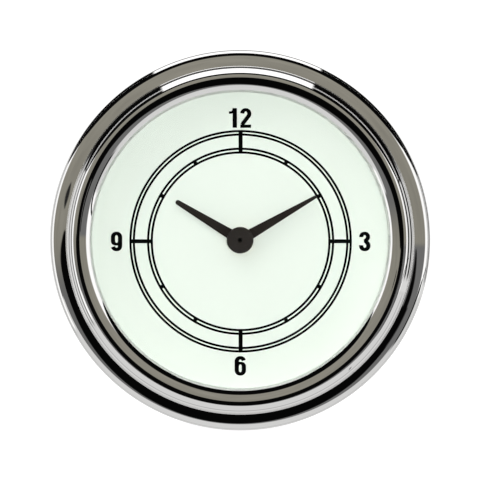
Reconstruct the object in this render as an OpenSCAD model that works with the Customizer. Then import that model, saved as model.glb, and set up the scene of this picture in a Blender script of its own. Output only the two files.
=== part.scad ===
// Car clock for a round dash hole: stepped polished bezel, flat glass, white dial,
// quartz movement in a drawn can, rear setting knob and a U clamp on two studs.
// Millimetres. The front of the clock looks along -Y and 12 o'clock is +Z.
// Origin: on the clock's axis, at the plane where the bezel seats on the dash panel.

/* [Case] */
// Outside diameter of the case barrel, which goes through the dash hole
barrel_d = 52.4; // [52:0.2:57]
// Depth of the case behind the panel seat
case_depth = 30; // [29:0.5:40]
// Sheet thickness of the drawn case
case_wall = 0.8; // [0.6:0.05:1]

/* [Bezel] */
// How far the bezel reaches beyond the barrel, on the radius
bezel_reach = 3.55; // [3.4:0.05:5]
// Sheet thickness of the bezel
bezel_sheet = 0.6; // [0.5:0.05:0.7]
// How far the bezel covers the front inside the barrel radius
bezel_cover = 2.8; // [2.6:0.05:3.2]

/* [Front] */
// Thickness of the front glass
lens_t = 2; // [1.5:0.1:2.6]
// Free depth between the glass and the dial
dial_depth = 4.8; // [4.6:0.1:7]
// Thickness of the dial plate
dial_t = 0.8; // [0.5:0.05:1.2]

/* [Hands] */
// Length of the minute hand from the centre to its tip
minute_length = 13.8; // [11:0.1:18]
// Length of the hour hand from the centre to its tip
hour_length = 11.9; // [8:0.1:15]
// Angle of the minute hand, clockwise from 12
minute_angle = 59.8; // [0:0.1:360]
// Angle of the hour hand, clockwise from 12
hour_angle = 300.7; // [0:0.1:360]
// Radius of the round cap over the hands
hub_r = 2.09; // [2.05:0.01:3]

/* [Movement] */
// Barrel radius divided by the tooth size of the wheels between the plates
train_ratio = 131; // [128:1:135]
// Tooth size of the wheels behind the dial, against that of the wheels between the plates
dial_ratio = 1.75; // [1.7:0.01:1.8]
// Thickness of the front movement plate
front_plate_t = 1.2; // [1:0.05:1.5]
// Thickness of the back movement plate
back_plate_t = 1; // [0.8:0.05:1.2]
// Thickness of the circuit board
board_t = 1.2; // [0.8:0.1:1.6]

/* [Rear] */
// Diameter of the mounting studs
stud_d = 4; // [3:0.5:5]
// Spacing of the mounting studs
stud_spacing = 32; // [30:0.5:34]
// Radius of the setting knob
knob_r = 4.5; // [3.5:0.1:5]
// Width of the clamp strap
strap_w = 12; // [10:0.5:12.5]
// Sheet thickness of the clamp
strap_t = 1.4; // [1:0.1:1.4]
// Room between the clamp's feet and the panel seat
clamp_gap = 5; // [4.6:0.1:8]

/* [Hidden] */
$fn = 96;

// clearances: turning shafts in bores, parts that only pass each other, loose fits
run_gap = 0.05;
pass_gap = 0.35;
loose = 0.2;

// the movement grows with the barrel: its pieces are sized in cells of five tooth sizes,
// which are 1 mm in the usual barrel
barrel_r = barrel_d / 2;
train_module = barrel_r / train_ratio;
dial_module = dial_ratio * train_module;
cell = 5 * train_module;

// radii
case_ir = barrel_r - case_wall;
bezel_r = barrel_r + bezel_reach;
window_r = barrel_r - bezel_cover;
inner_r = case_ir - loose;
lens_r = barrel_r + 0.1;
flange_r = bezel_r - bezel_sheet - 0.25;
post_circle = case_ir - 3.4 * cell;
board_r = post_circle - 3.5 * cell;
pillar_circle = board_r - 2 * cell;

// depths along the clock's axis, + towards the front
gasket_t = 0.5;
ring_flange_t = 0.6;
case_flange = bezel_sheet + case_wall;
lens_back = case_flange + ring_flange_t;
lens_front = lens_back + lens_t;
lip_z = lens_front + gasket_t;
dial_front = lens_back - dial_depth;
dial_back = dial_front - dial_t;
plate_front = dial_back - 3.2 * cell;
plate_back = plate_front - front_plate_t;
back_front = plate_back - 7 * cell;
back_back = back_front - back_plate_t;
board_front = back_back - 2.5 * cell;
board_back = board_front - board_t;
case_floor = case_wall - case_depth;
case_back = -case_depth;

// profile of the bezel: tilts are degrees from facing the front
lip_tilt = 32;
crown_tilt = 9.7;
band_tilt = 12;
edge_tilt = 23;
rim_tilt = 30.6;
slope_r = 4.37;
roll_r = 1.82;
crease_r = 0.15;
edge_r = 2.35;
rim_r = 0.8;
function facing(t) = [sin(t), cos(t)];
slope_c = [window_r + slope_r * sin(lip_tilt), lip_z - (slope_r - bezel_sheet) * cos(lip_tilt)];
roll_c = slope_c + (slope_r - roll_r) * facing(-crown_tilt);
crease_c = roll_c + [roll_r + crease_r, 0];
band_end = crease_c - crease_r * facing(band_tilt);
rim_span = rim_r * (1 - sin(rim_tilt)) + edge_r * (sin(rim_tilt) - sin(edge_tilt));
band_r = (bezel_r - band_end[0] - rim_span) / (sin(edge_tilt) - sin(band_tilt));
band_c = band_end - band_r * facing(band_tilt);
edge_c = band_c + (band_r - edge_r) * facing(edge_tilt);
rim_c = edge_c + (edge_r - rim_r) * facing(rim_tilt);

// gears: involute teeth, shortened and thinned for play
pressure = 27;
tooth_play = 0.05;
function involute(a) = tan(a) * 180 / PI - a;
function tooth_half(n, m, r) =
    let (rp = n * m / 2, rb = rp * cos(pressure))
    90 / n - tooth_play / 2 / rp * 180 / PI + involute(pressure)
    - (r > rb ? involute(acos(rb / r)) : 0);
function tooth_radii(n, m) =
    let (rp = n * m / 2, rb = rp * cos(pressure), rd = rp - 1.05 * m, ra = rp + 0.8 * m)
    let (r0 = max(rd, rb))
    concat(rd < rb ? [rd] : [], [for (i = [0 : 2]) r0 + (ra - r0) * i / 2]);
function gear_outline(n, m) =
    let (rs = tooth_radii(n, m), last = len(rs) - 1)
    [for (k = [0 : n - 1]) for (j = [0 : 2 * last + 1])
        let (r = rs[j <= last ? j : 2 * last + 1 - j])
        let (a = k * 360 / n + (j <= last ? -1 : 1) * tooth_half(n, m, r))
        r * [cos(a), sin(a)]];
// turn that puts a gap of the second gear over a tooth of the first, d degrees away
function mesh_turn(turn_a, na, nb, d) = d + 180 + 180 / nb - (turn_a - d) * na / nb;
function polar(r, a) = r * [cos(a), sin(a)];

// wheels behind the dial: cannon and set pinions, minute wheel and pinion, hour wheel
cannon_n = 12;
minute_n = 36;
small_n = 10;
hour_n = 40;
small_module = dial_module * (cannon_n + minute_n) / (small_n + hour_n);
dial_distance = dial_module * (cannon_n + minute_n) / 2;
minute_dir = 255;
set_dir = 215.5;
minute_c = polar(dial_distance, minute_dir);
set_c = minute_c + polar(dial_distance, set_dir);
minute_turn = mesh_turn(0, cannon_n, minute_n, minute_dir);
set_turn = mesh_turn(minute_turn, minute_n, cannon_n, set_dir);
hour_turn = mesh_turn(0, small_n, hour_n, minute_dir + 180);
wheel_low = plate_front + 0.3 * cell;
wheel_high = plate_front + 1.3 * cell;

// wheels between the plates, from the centre wheel to the rotor
leaf_n = 8;
centre_n = 64;
third_n = 60;
fourth_n = 48;
fifth_n = 40;
centre_module = train_module * 1.25;
third_dir = 60;
fourth_dir = 150;
fifth_dir = 210;
rotor_dir = 220;
third_c = polar(centre_module * (centre_n + leaf_n) / 2, third_dir);
fourth_c = third_c + polar(train_module * (third_n + leaf_n) / 2, fourth_dir);
fifth_c = fourth_c + polar(train_module * (fourth_n + leaf_n) / 2, fifth_dir);
rotor_c = fifth_c + polar(train_module * (fifth_n + leaf_n) / 2, rotor_dir);
third_leaf_turn = mesh_turn(0, centre_n, leaf_n, third_dir);
fourth_leaf_turn = mesh_turn(0, third_n, leaf_n, fourth_dir);
fifth_leaf_turn = mesh_turn(0, fourth_n, leaf_n, fifth_dir);
rotor_leaf_turn = mesh_turn(0, fifth_n, leaf_n, rotor_dir);
level_a = plate_back - 5.6 * cell;
level_b = plate_back - 3.4 * cell;
level_c = plate_back - 1.4 * cell;
arbor_r = 0.5 * cell;
pivot_r = 0.3 * cell;
bush_r = cell;
centre_r = 0.7 * cell;
rear_pivot_r = 0.45 * cell;
pipe_r = cell;
hour_pipe_r = 1.6 * cell;
collet_r = hub_r - 0.09;
collet_t = 0.15;

// hands, above the dial
hand_t = 0.3;
hour_z = dial_front + dial_depth / 4;
minute_z = dial_front + dial_depth / 2;
cap_z = minute_z + hand_t;

// coil and stator, placed from the rotor
magnet_r = 2.2 * cell;
coil_x = rotor_c[0] - 2.6 * cell;
coil_z = level_c - 1.1 * cell;
coil_top = rotor_c[1] - 4.3 * cell;
coil_bottom = coil_top - 9.5 * cell;
pad_a = [coil_x, rotor_c[1] - 2.6 * cell];
pad_b = [coil_x, coil_bottom - 1.9 * cell];
stator_low = level_c - 0.6 * cell;
stator_high = level_c + 0.4 * cell;
core_low = stator_low - cell;
core_half = 1.2 * cell;
flange_half = 2.2 * cell;
pin_r = 0.25 * cell;
pin_y = coil_bottom + 0.8 * cell;
pin_xs = [coil_x - 1.4 * cell, coil_x + 1.4 * cell];
pin_top = coil_z - 1.2 * cell;

// fixings
pillar_dirs = [15, 165, 285];
post_dirs = [30, 150, 270];
screw_r = 0.8 * cell;
stator_screw_r = 0.6 * cell;
post_screw_r = 1.25 * cell;
fit_gap = 0.02;
foot_r = 0.6 * cell;
foot_circle = inner_r - 4.7 * cell;
spigot_r = cell;
wheel_stud_r = 0.8 * cell;
rivet_r = 1.4 * cell;
pillar_r = 1.6 * cell;

// rear fittings
set_r = cell;
lamp_c = [0, 15.5] * cell;
lamp_neck_r = 4.1 * cell;
bulb_r = 2.5 * cell;
bulb_tip = back_back - 2.5 * cell;
ear_r = lamp_neck_r + 0.9 * cell;
ear_w = cell;
block_c = [6, -13] * cell;
block_size = [15, 6.5];
blade_pitch = 5;
blade_size = [0.8, 4.8];
blade_end = case_back - 10.5;
tail_size = [0.8, 1.2];
stud_r = stud_d / 2;
stud_nut_t = 3.2;
strap_front = case_back - 8.5;
strap_back = strap_front - strap_t;
washer_t = 0.8;
nut_front = strap_back - washer_t;
nut_t = 5.5;
stud_end = nut_front - nut_t - 3.8;
leg_x = barrel_r + 1.2;
feet_z = -clamp_gap;

// points of an arc round c, from tilt t0 to tilt t1
function arc(c, r, t0, t1, n = 8) = [for (i = [0 : n]) c + r * facing(t0 + (t1 - t0) * i / n)];

// everything is drawn with the front towards +Z, then stood up to face -Y
module upright() { rotate([90, 0, 0]) children(); }
module at(p, z = 0) { translate([p[0], p[1], z]) children(); }
module disc(r, z0, z1) { translate([0, 0, z0]) cylinder(r = r, h = z1 - z0); }
module tube(ro, ri, z0, z1) {
    difference() {
        disc(ro, z0, z1);
        disc(ri, z0 - 1, z1 + 1);
    }
}
module block(x0, x1, y0, y1, z0, z1) {
    translate([x0, y0, z0]) cube([x1 - x0, y1 - y0, z1 - z0]);
}
module hex(flats, z0, z1) {
    translate([0, 0, z0]) cylinder(r = flats / 2 / cos(30), h = z1 - z0, $fn = 6);
}
module on_circle(r, dirs) { for (a = dirs) at(polar(r, a)) children(); }
module toothed(n, m, turn, z0, z1) {
    translate([0, 0, z0]) rotate(turn) linear_extrude(z1 - z0) polygon(gear_outline(n, m));
}
// a round bar with ridges cut as straight facets
module ridged(r, depth, count, z0, z1) {
    translate([0, 0, z0]) linear_extrude(z1 - z0)
        polygon([for (i = [0 : 2 * count - 1]) polar(i % 2 == 0 ? r : r - depth, i * 180 / count)]);
}
// windows between the spokes of a wheel
module windows(rim, hub, spokes, width, z0, z1) {
    difference() {
        tube(rim, hub, z0 - 1, z1 + 1);
        for (i = [0 : spokes - 1]) rotate(i * 360 / spokes)
            block(0, rim + 1, -width / 2, width / 2, z0 - 2, z1 + 2);
    }
}
// slotted screw, head towards -Z
module screw(r, length, head_r, head_t, z) {
    difference() {
        union() {
            disc(r, z, z + length);
            rotate_extrude() polygon([[0, z], [head_r, z], [head_r, z - head_t * 0.6],
                [head_r * 0.8, z - head_t], [0, z - head_t]]);
        }
        block(-head_r * 0.12, head_r * 0.12, -head_r - 1, head_r + 1, z - head_t - 1, z - head_t * 0.55);
    }
}

// Front of the clock.

// Spun and crimped bezel ring: narrow rim, flat band, crease, rolled crown, inner slope.
module bezel() {
    outer = concat(
        arc(slope_c, slope_r, -lip_tilt, -crown_tilt, 6),
        arc(roll_c, roll_r, -crown_tilt, 90, 12),
        arc(crease_c, -crease_r, 90, band_tilt, 4),
        arc(band_c, band_r, band_tilt, edge_tilt, 4),
        arc(edge_c, edge_r, edge_tilt, rim_tilt, 2),
        arc(rim_c, rim_r, rim_tilt, 90, 6),
        arc([bezel_r - rim_r, rim_r], rim_r, 90, 180, 6));
    inner = concat(
        arc([bezel_r - rim_r, rim_r], rim_r - bezel_sheet, 180, 90, 3),
        arc(rim_c, rim_r - bezel_sheet, 90, rim_tilt, 3),
        arc(edge_c, edge_r - bezel_sheet, rim_tilt, edge_tilt, 2),
        arc(band_c, band_r - bezel_sheet, edge_tilt, band_tilt, 4),
        arc(crease_c, -crease_r - bezel_sheet, band_tilt, 90, 6),
        arc(roll_c, roll_r - bezel_sheet, 90, -crown_tilt, 10),
        arc(slope_c, slope_r - bezel_sheet, -crown_tilt, -lip_tilt, 6));
    crimp_r = bezel_r - 2.15;
    color("lightgray") upright() rotate_extrude()
        polygon(concat(outer, [[crimp_r, 0], [crimp_r, bezel_sheet]], inner));
}

// Rubber seal between the bezel's inner slope and the glass.
module bezel_gasket() {
    face = arc(slope_c, slope_r - bezel_sheet - fit_gap, -lip_tilt, -crown_tilt - 4, 4);
    color("black") upright() rotate_extrude()
        polygon(concat([[face[0][0], lens_front]], face, [[face[4][0], lens_front]]));
}

// Flat glass disc with a small bevel round both edges.
module lens() {
    b = 0.2;
    color("lightblue", 0.4) upright() rotate_extrude() polygon([[0, lens_back],
        [lens_r - b, lens_back], [lens_r, lens_back + b], [lens_r, lens_front - b],
        [lens_r - b, lens_front], [0, lens_front]]);
}

// White moulded ring that spaces the glass from the dial.
module spacer_ring() {
    color("white") upright() rotate_extrude() polygon([
        [window_r - 0.3, dial_front], [inner_r, dial_front], [inner_r, case_flange - 0.6],
        [inner_r - 0.2, case_flange - 0.4], [inner_r - 0.2, case_flange],
        [lens_r + 1.3, case_flange], [lens_r + 1.3, lens_back], [window_r + 0.1, lens_back]]);
}

// Dial plate with a centre hole and two feet that locate it in the front plate.
module dial() {
    color("ivory") upright() {
        tube(inner_r, hour_pipe_r + pass_gap, dial_back, dial_front);
        on_circle(foot_circle, [0, 180]) disc(foot_r, plate_back, dial_back);
    }
}

// One tapered hand pointing along the given clock angle, with a round eye.
module hand(length, root_w, tip_w, eye_r, bore_r, angle, z) {
    rotate(-angle) difference() {
        union() {
            translate([0, 0, z]) linear_extrude(hand_t) polygon([[-root_w / 2, 0], [root_w / 2, 0],
                [tip_w / 2, length - tip_w / 2], [-tip_w / 2, length - tip_w / 2]]);
            at([0, length - tip_w / 2]) disc(tip_w / 2, z, z + hand_t);
            disc(eye_r, z, z + hand_t);
        }
        disc(bore_r, z - 1, z + 1);
    }
}
module hour_hand() {
    color("dimgray") upright()
        hand(hour_length, 1.52, 0.68, collet_r, hour_pipe_r + collet_t, hour_angle, hour_z);
}

// Brass collet riveted in the hour hand, pushed on the hour wheel's pipe.
module hour_collet() {
    color("goldenrod") upright() {
        tube(hour_pipe_r + collet_t, hour_pipe_r, hour_z, hour_z + hand_t);
        tube(collet_r, hour_pipe_r, hour_z - 0.6, hour_z);
    }
}

module minute_hand() {
    color("dimgray") upright()
        hand(minute_length, 1.65, 0.45, collet_r, pipe_r - 0.1, minute_angle, minute_z);
}

// Turned cap that holds the minute hand, with a small centre dimple.
module hub_cap() {
    color("gray") upright() rotate_extrude() polygon([
        [0, cap_z - 0.4], [centre_r, cap_z - 0.4], [centre_r, cap_z], [hub_r, cap_z],
        [hub_r, cap_z + 0.45], [hub_r - 0.15, cap_z + 0.62], [hub_r - 0.5, cap_z + 0.7],
        [0.35, cap_z + 0.75], [0.3, cap_z + 0.5], [0, cap_z + 0.45]]);
}

// Movement frame.

// Ring that carries the dial on the front plate.
module carrier_ring() {
    color("whitesmoke") upright() tube(inner_r, inner_r - 1.6 * cell, plate_front, dial_back);
}

module front_plate() {
    color("gold") upright() difference() {
        union() {
            disc(inner_r, plate_back, plate_front);
            for (p = [pad_a, pad_b]) at(p) disc(rivet_r, stator_high, plate_back + 0.1);
        }
        disc(centre_r + run_gap, plate_back - 1, plate_front + 1);
        for (p = [third_c, fourth_c, fifth_c, rotor_c])
            at(p) disc(bush_r, plate_back - 1, plate_front + 1);
        at(minute_c) disc(wheel_stud_r, plate_back - 1, plate_front + 1);
        at(set_c) disc(set_r + run_gap, plate_back - 1, plate_front + 1);
        on_circle(pillar_circle, pillar_dirs) disc(spigot_r, plate_back - 1, plate_front + 1);
        on_circle(post_circle, post_dirs) disc(spigot_r, plate_back - 1, plate_front + 1);
        on_circle(foot_circle, [0, 180])
            disc(foot_r + fit_gap, plate_back - 1, plate_front + 1);
        for (p = [pad_a, pad_b]) at(p)
            disc(stator_screw_r + fit_gap, stator_high - 1, plate_back + front_plate_t * 0.75);
    }
}

module back_plate() {
    color("gold") upright() difference() {
        disc(board_r, back_back, back_front);
        disc(rear_pivot_r + run_gap, back_back - 1, back_front + 1);
        for (p = [third_c, fourth_c, fifth_c, rotor_c])
            at(p) disc(bush_r, back_back - 1, back_front + 1);
        at(set_c) disc(set_r + run_gap, back_back - 1, back_front + 1);
        on_circle(pillar_circle, pillar_dirs)
            disc(screw_r + fit_gap, back_back - 1, back_front + 1);
        for (x = pin_xs) at([x, pin_y]) disc(pin_r + pass_gap, back_back - 1, back_front + 1);
    }
}

// Bushes pressed in both plates for the four train arbors.
module plate_bushes() {
    color("darkgoldenrod") upright() for (p = [third_c, fourth_c, fifth_c, rotor_c]) at(p) {
        tube(bush_r, pivot_r + run_gap, plate_back, plate_front);
        tube(bush_r, pivot_r + run_gap, back_back, back_front);
    }
}

// Pillars riveted in the front plate, tapped at the back for the plate screws.
module plate_pillars() {
    color("gold") upright() on_circle(pillar_circle, pillar_dirs) difference() {
        union() {
            disc(pillar_r, back_front, plate_back);
            disc(spigot_r, plate_back - 0.1, plate_front + 0.1);
            disc(rivet_r, plate_front, plate_front + 0.2 * cell);
        }
        disc(screw_r + fit_gap, back_front - 1, back_front + 4 * cell);
    }
}

module board_spacers() {
    color("silver") upright() on_circle(pillar_circle, pillar_dirs)
        tube(pillar_r, screw_r + fit_gap, board_front, back_back);
}

module plate_screws() {
    depth = back_front - board_back + 3 * cell;
    color("silver") upright() on_circle(pillar_circle, pillar_dirs)
        screw(screw_r, depth, 1.55 * cell, 0.9 * cell, board_back);
}

// Wheels behind the dial.

// Centre arbor with its rear pivot, a collar behind the centre wheel and one before the spring.
module centre_arbor() {
    color("silver") upright() {
        disc(rear_pivot_r, back_back + 0.1, back_front + 0.15);
        disc(centre_r, back_front + 0.1, cap_z - 0.6);
        disc(1.8 * cell, level_a - 0.85 * cell, level_a - 0.45 * cell);
        disc(1.2 * cell, level_a + 0.7 * cell, level_a + 1.2 * cell);
    }
}

// Three-armed spring washer that makes the centre wheel slip when the hands are set.
module friction_spring() {
    z = level_a + 0.45 * cell;
    top = level_a + 0.7 * cell;
    color("silver") upright() difference() {
        union() {
            disc(1.7 * cell, z, top);
            for (a = [0, 120, 240]) rotate(a)
                block(0, 4.4 * cell, -0.6 * cell, 0.6 * cell, z, top);
        }
        disc(centre_r, z - 1, z + 1);
    }
}

module spoked_wheel(n, m, bore, hub, z, t, spokes = 4) {
    root = (n / 2 - 1.05) * m;
    difference() {
        toothed(n, m, 0, z - t / 2, z + t / 2);
        disc(bore, z - t, z + t);
        windows(root - 4 * m, hub, spokes, 3 * m, z - t / 2, z + t / 2);
    }
}
module centre_wheel() {
    color("goldenrod") upright()
        spoked_wheel(centre_n, centre_module, centre_r + run_gap, 2.2 * cell, level_a,
            0.8 * cell);
}

// Cannon pinion: leaves at the bottom, pipe up through the hour wheel to the minute hand.
module cannon_pinion() {
    color("goldenrod") upright() difference() {
        union() {
            toothed(cannon_n, dial_module, 0, plate_front + 0.2 * cell, wheel_low + 0.7 * cell);
            disc(pipe_r, plate_front + 0.2 * cell, minute_z);
            disc(pipe_r - 0.1, minute_z - 0.1, cap_z);
        }
        disc(centre_r, plate_front - 1, cap_z + 1);
    }
}

// Minute wheel with its pinion riveted on, turning on a stud.
module minute_wheel() {
    high = wheel_low + 0.6 * cell;
    color("goldenrod") upright() at(minute_c) difference() {
        union() {
            toothed(minute_n, dial_module, minute_turn, wheel_low, high);
            toothed(small_n, small_module, 0, high - 0.1, plate_front + 2.1 * cell);
        }
        disc(wheel_stud_r + run_gap, plate_front - 1, plate_front + 3 * cell);
        windows(4.6 * cell, 2.2 * cell, 4, 1.2 * cell, wheel_low, wheel_low + 0.4 * cell);
    }
}
module minute_wheel_stud() {
    color("silver") upright() at(minute_c) {
        disc(wheel_stud_r, plate_back, plate_front + 2.2 * cell);
        disc(wheel_stud_r * 1.4, plate_front + 2.15 * cell, plate_front + 2.4 * cell);
    }
}

// Hour wheel and its pipe, which carries the hour hand.
module hour_wheel() {
    color("goldenrod") upright() difference() {
        union() {
            toothed(hour_n, small_module, hour_turn, wheel_high, wheel_high + 0.6 * cell);
            disc(2.4 * cell, wheel_high, wheel_high + cell);
            disc(hour_pipe_r, wheel_high, hour_z + hand_t);
        }
        disc(pipe_r + run_gap, wheel_high - 1, hour_z + 1);
        windows(5.2 * cell, 2.6 * cell, 4, 1.1 * cell, wheel_high, wheel_high + 0.6 * cell);
    }
}

// Going train between the plates.

module train_wheel(c, n, z) {
    color("goldenrod") upright() at(c)
        spoked_wheel(n, train_module, arbor_r, 1.3 * cell, z, 0.6 * cell, 3);
}
// Steel arbor with two pivots and an eight-leaf pinion cut on it.
module train_arbor(c, m, turn, z) {
    color("silver") upright() at(c) {
        disc(pivot_r, back_back + 0.1, plate_front - 0.2);
        disc(arbor_r, back_front + 0.05, plate_back - 0.05);
        toothed(leaf_n, m, turn, z - 0.6 * cell, z + 0.6 * cell);
    }
}
module third_wheel() { train_wheel(third_c, third_n, level_b); }
module third_arbor() { train_arbor(third_c, centre_module, third_leaf_turn, level_a); }
module fourth_wheel() { train_wheel(fourth_c, fourth_n, level_c); }
module fourth_arbor() { train_arbor(fourth_c, train_module, fourth_leaf_turn, level_b); }
module fifth_wheel() { train_wheel(fifth_c, fifth_n, level_b); }
module fifth_arbor() { train_arbor(fifth_c, train_module, fifth_leaf_turn, level_c); }
module rotor_arbor() { train_arbor(rotor_c, train_module, rotor_leaf_turn, level_b); }

// Permanent magnet ring on the rotor arbor.
module rotor_magnet() {
    color("darkslategray") upright() at(rotor_c)
        tube(magnet_r, arbor_r, level_c - 0.8 * cell, level_c + 0.6 * cell);
}

// Soft iron stator: ring round the rotor, with two arms to the ends of the coil core.
module stator() {
    hole_r = magnet_r + 0.4 * cell;
    arm_x = coil_x + 3.2 * cell;
    color("slategray") upright() difference() {
        union() {
            at(rotor_c) disc(magnet_r + 1.5 * cell, stator_low, stator_high);
            for (p = [pad_a, pad_b]) at(p) disc(1.6 * cell, stator_low, stator_high);
            block(arm_x, arm_x + 2 * cell, pad_b[1] - cell, rotor_c[1] - 2.8 * cell,
                stator_low, stator_high);
            block(coil_x, arm_x + 0.1, pad_b[1] - cell, pad_b[1] + cell,
                stator_low, stator_high);
        }
        at(rotor_c) disc(hole_r, stator_low - 1, stator_high + 1);
        for (a = [75, 255]) at(rotor_c + polar(hole_r, a))
            disc(0.35 * cell, stator_low - 1, stator_high + 1);
        for (p = [pad_a, pad_b]) at(p)
            disc(stator_screw_r + fit_gap, stator_low - 1, stator_high + 1);
    }
}
module stator_screws() {
    depth = plate_back + front_plate_t * 0.7 - core_low;
    color("silver") upright() for (p = [pad_a, pad_b]) at(p)
        screw(stator_screw_r, depth, 1.25 * cell, 0.8 * cell, core_low);
}
module coil_core() {
    color("slategray") upright() difference() {
        block(coil_x - core_half, coil_x + core_half, pad_b[1] - 1.4 * cell,
            pad_a[1] + 1.2 * cell, core_low, stator_low);
        for (p = [pad_a, pad_b]) at(p)
            disc(stator_screw_r + fit_gap, core_low - 1, stator_high);
    }
}

// a tube round the coil axis, which runs up the clock
module coil_tube(r, y0, y1) {
    translate([coil_x, y1, coil_z]) rotate([90, 0, 0]) cylinder(r = r, h = y1 - y0);
}
// Moulded bobbin: two flanges, a square foot for the pins and a slot for the core.
module coil_bobbin() {
    color("ivory") upright() difference() {
        union() {
            coil_tube(1.5 * cell, coil_bottom, coil_top);
            coil_tube(flange_half, coil_top - 0.8 * cell, coil_top);
            block(coil_x - flange_half, coil_x + flange_half, coil_bottom,
                coil_bottom + 1.6 * cell, coil_z - flange_half, coil_z + flange_half);
        }
        block(coil_x - core_half, coil_x + core_half, coil_bottom - 1, coil_top + 1,
            core_low, stator_low);
        for (x = pin_xs) at([x, pin_y]) disc(pin_r, coil_z - 3 * cell, pin_top);
    }
}
module coil_winding() {
    color("chocolate") upright() difference() {
        coil_tube(2.05 * cell, coil_bottom + 1.6 * cell, coil_top - 0.8 * cell);
        coil_tube(1.5 * cell, coil_bottom, coil_top);
    }
}
module coil_pins() {
    color("silver") upright() for (x = pin_xs) at([x, pin_y])
        disc(pin_r, board_back - 0.6 * cell, pin_top);
}

// Setting shaft.

// Long shaft from the rear knob to the set pinion in front of the front plate.
module set_arbor() {
    color("silver") upright() at(set_c) {
        disc(set_r, case_back - 5, wheel_low + 0.9 * cell);
        disc(1.7 * cell, plate_back - 0.7 * cell, plate_back - 0.1 * cell);
        toothed(cannon_n, dial_module, set_turn, plate_front + 0.1 * cell,
            wheel_low + 0.7 * cell);
    }
}
module set_knob() {
    z = case_back - 1.4;
    color("black") upright() at(set_c) difference() {
        union() {
            disc(2.2, z - 0.1, case_back - 0.5);
            ridged(knob_r, 0.3, 20, z - 4.8, z);
            rotate_extrude() polygon([[0, z - 4.4], [knob_r - 0.6, z - 4.4],
                [knob_r - 0.6, z - 5], [knob_r - 1.1, z - 5.5], [0, z - 5.5]]);
        }
        disc(set_r, case_back - 5, case_back);
    }
}

// Electronics.

module circuit_board() {
    color("seagreen") upright() difference() {
        disc(board_r, board_back, board_front);
        block(-board_r, board_r, 9 * cell, board_r + 1, board_back - 1, board_front + 1);
        on_circle(pillar_circle, pillar_dirs)
            disc(screw_r + fit_gap, board_back - 1, board_front + 1);
        at(set_c) disc(set_r + pass_gap, board_back - 1, board_front + 1);
        for (x = pin_xs) at([x, pin_y]) disc(pin_r, board_back - 1, board_front + 1);
        for (i = [-1 : 1]) at(block_c + [i * blade_pitch, 0])
            block(-tail_size[0] / 2, tail_size[0] / 2, -tail_size[1] / 2, tail_size[1] / 2,
                board_back - 1, board_front + 1);
    }
}

// a round bar lying across the board, from x0 to x1
module lying(r, x0, x1, z) {
    translate([x0, 0, z]) rotate([0, 90, 0]) cylinder(r = r, h = x1 - x0);
}
// Small metal can lying on the board, with two bent leads.
module quartz_crystal() {
    can_r = 1.1 * cell;
    lead_r = 0.2 * cell;
    z = board_back - can_r;
    color("silver") upright() translate([-8 * cell, 5.5 * cell, 0]) {
        lying(can_r, 0, 6 * cell, z);
        for (y = [-0.5, 0.5]) translate([0, y * cell, 0]) {
            lying(lead_r, -1.1 * cell, 0.1, z);
            at([-1.1 * cell, 0]) disc(lead_r, z, board_back);
        }
    }
}
module microchip() {
    color("black") upright() block(-3 * cell, 4 * cell, -4.5 * cell, 0.5 * cell,
        board_back - 1.6 * cell, board_back);
}
// Electrolytic capacitor: a can with a rolled groove near its foot.
module capacitor() {
    r = 3 * cell;
    tall = board_back - case_floor - 2.5 * cell;
    groove = 0.25 * cell;
    color("midnightblue") upright() at([9, 3.5] * cell, board_back) rotate_extrude() polygon([
        [0, 0], [r, 0], [r, -cell], [r - groove, -cell - groove], [r, -cell - 2 * groove],
        [r, 0.2 - tall], [r - 0.2, -tall], [0, -tall]]);
}
module resistors() {
    body_r = 0.8 * cell;
    lead_r = 0.2 * cell;
    z = board_back - 0.9 * cell;
    color("tan") upright() for (p = [[-8, -3], [-8, -5.4], [2.5, -7.5]] * cell)
        translate([p[0], p[1], 0]) {
            lying(body_r, -1.5 * cell, 1.5 * cell, z);
            lying(lead_r, -2.3 * cell, 2.3 * cell, z);
            for (x = [-2.3, 2.3] * cell) at([x, 0]) disc(lead_r, z, board_back);
        }
}

// Case and its fixings.

// Drawn can: turned-out flange under the bezel, barrel, rounded corner and flat back.
module case() {
    shell = concat(
        [[flange_r, bezel_sheet], [flange_r, case_flange]],
        arc([case_ir + 0.5, case_flange - 0.5], 0.5, 0, -90, 4),
        arc([case_ir - 0.4, case_floor + 0.4], 0.4, 90, 180, 4),
        [[0, case_floor], [0, case_back]],
        arc([barrel_r - 1.2, case_back + 1.2], 1.2, 180, 90, 6),
        arc([barrel_r + 0.3, bezel_sheet - 0.3], 0.3, -90, 0, 4));
    color("gainsboro") upright() difference() {
        rotate_extrude() polygon(shell);
        on_circle(post_circle, post_dirs)
            disc(post_screw_r + loose, case_back - 1, case_floor + 1);
        for (s = [-1, 1]) at([s * stud_spacing / 2, 0])
            disc(stud_r + fit_gap, case_back - 1, case_floor + 1);
        at(set_c) disc(set_r + pass_gap, case_back - 1, case_floor + 1);
        at(lamp_c) {
            disc(lamp_neck_r + fit_gap, case_back - 1, case_floor + 1);
            block(-ear_w - 0.1, ear_w + 0.1, -ear_r + 0.1, ear_r - 0.1,
                case_back - 1, case_floor + 1);
        }
        at(block_c) block(-block_size[0] / 2, block_size[0] / 2,
            -block_size[1] / 2, block_size[1] / 2, case_back - 1, case_floor + 1);
    }
}

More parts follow.
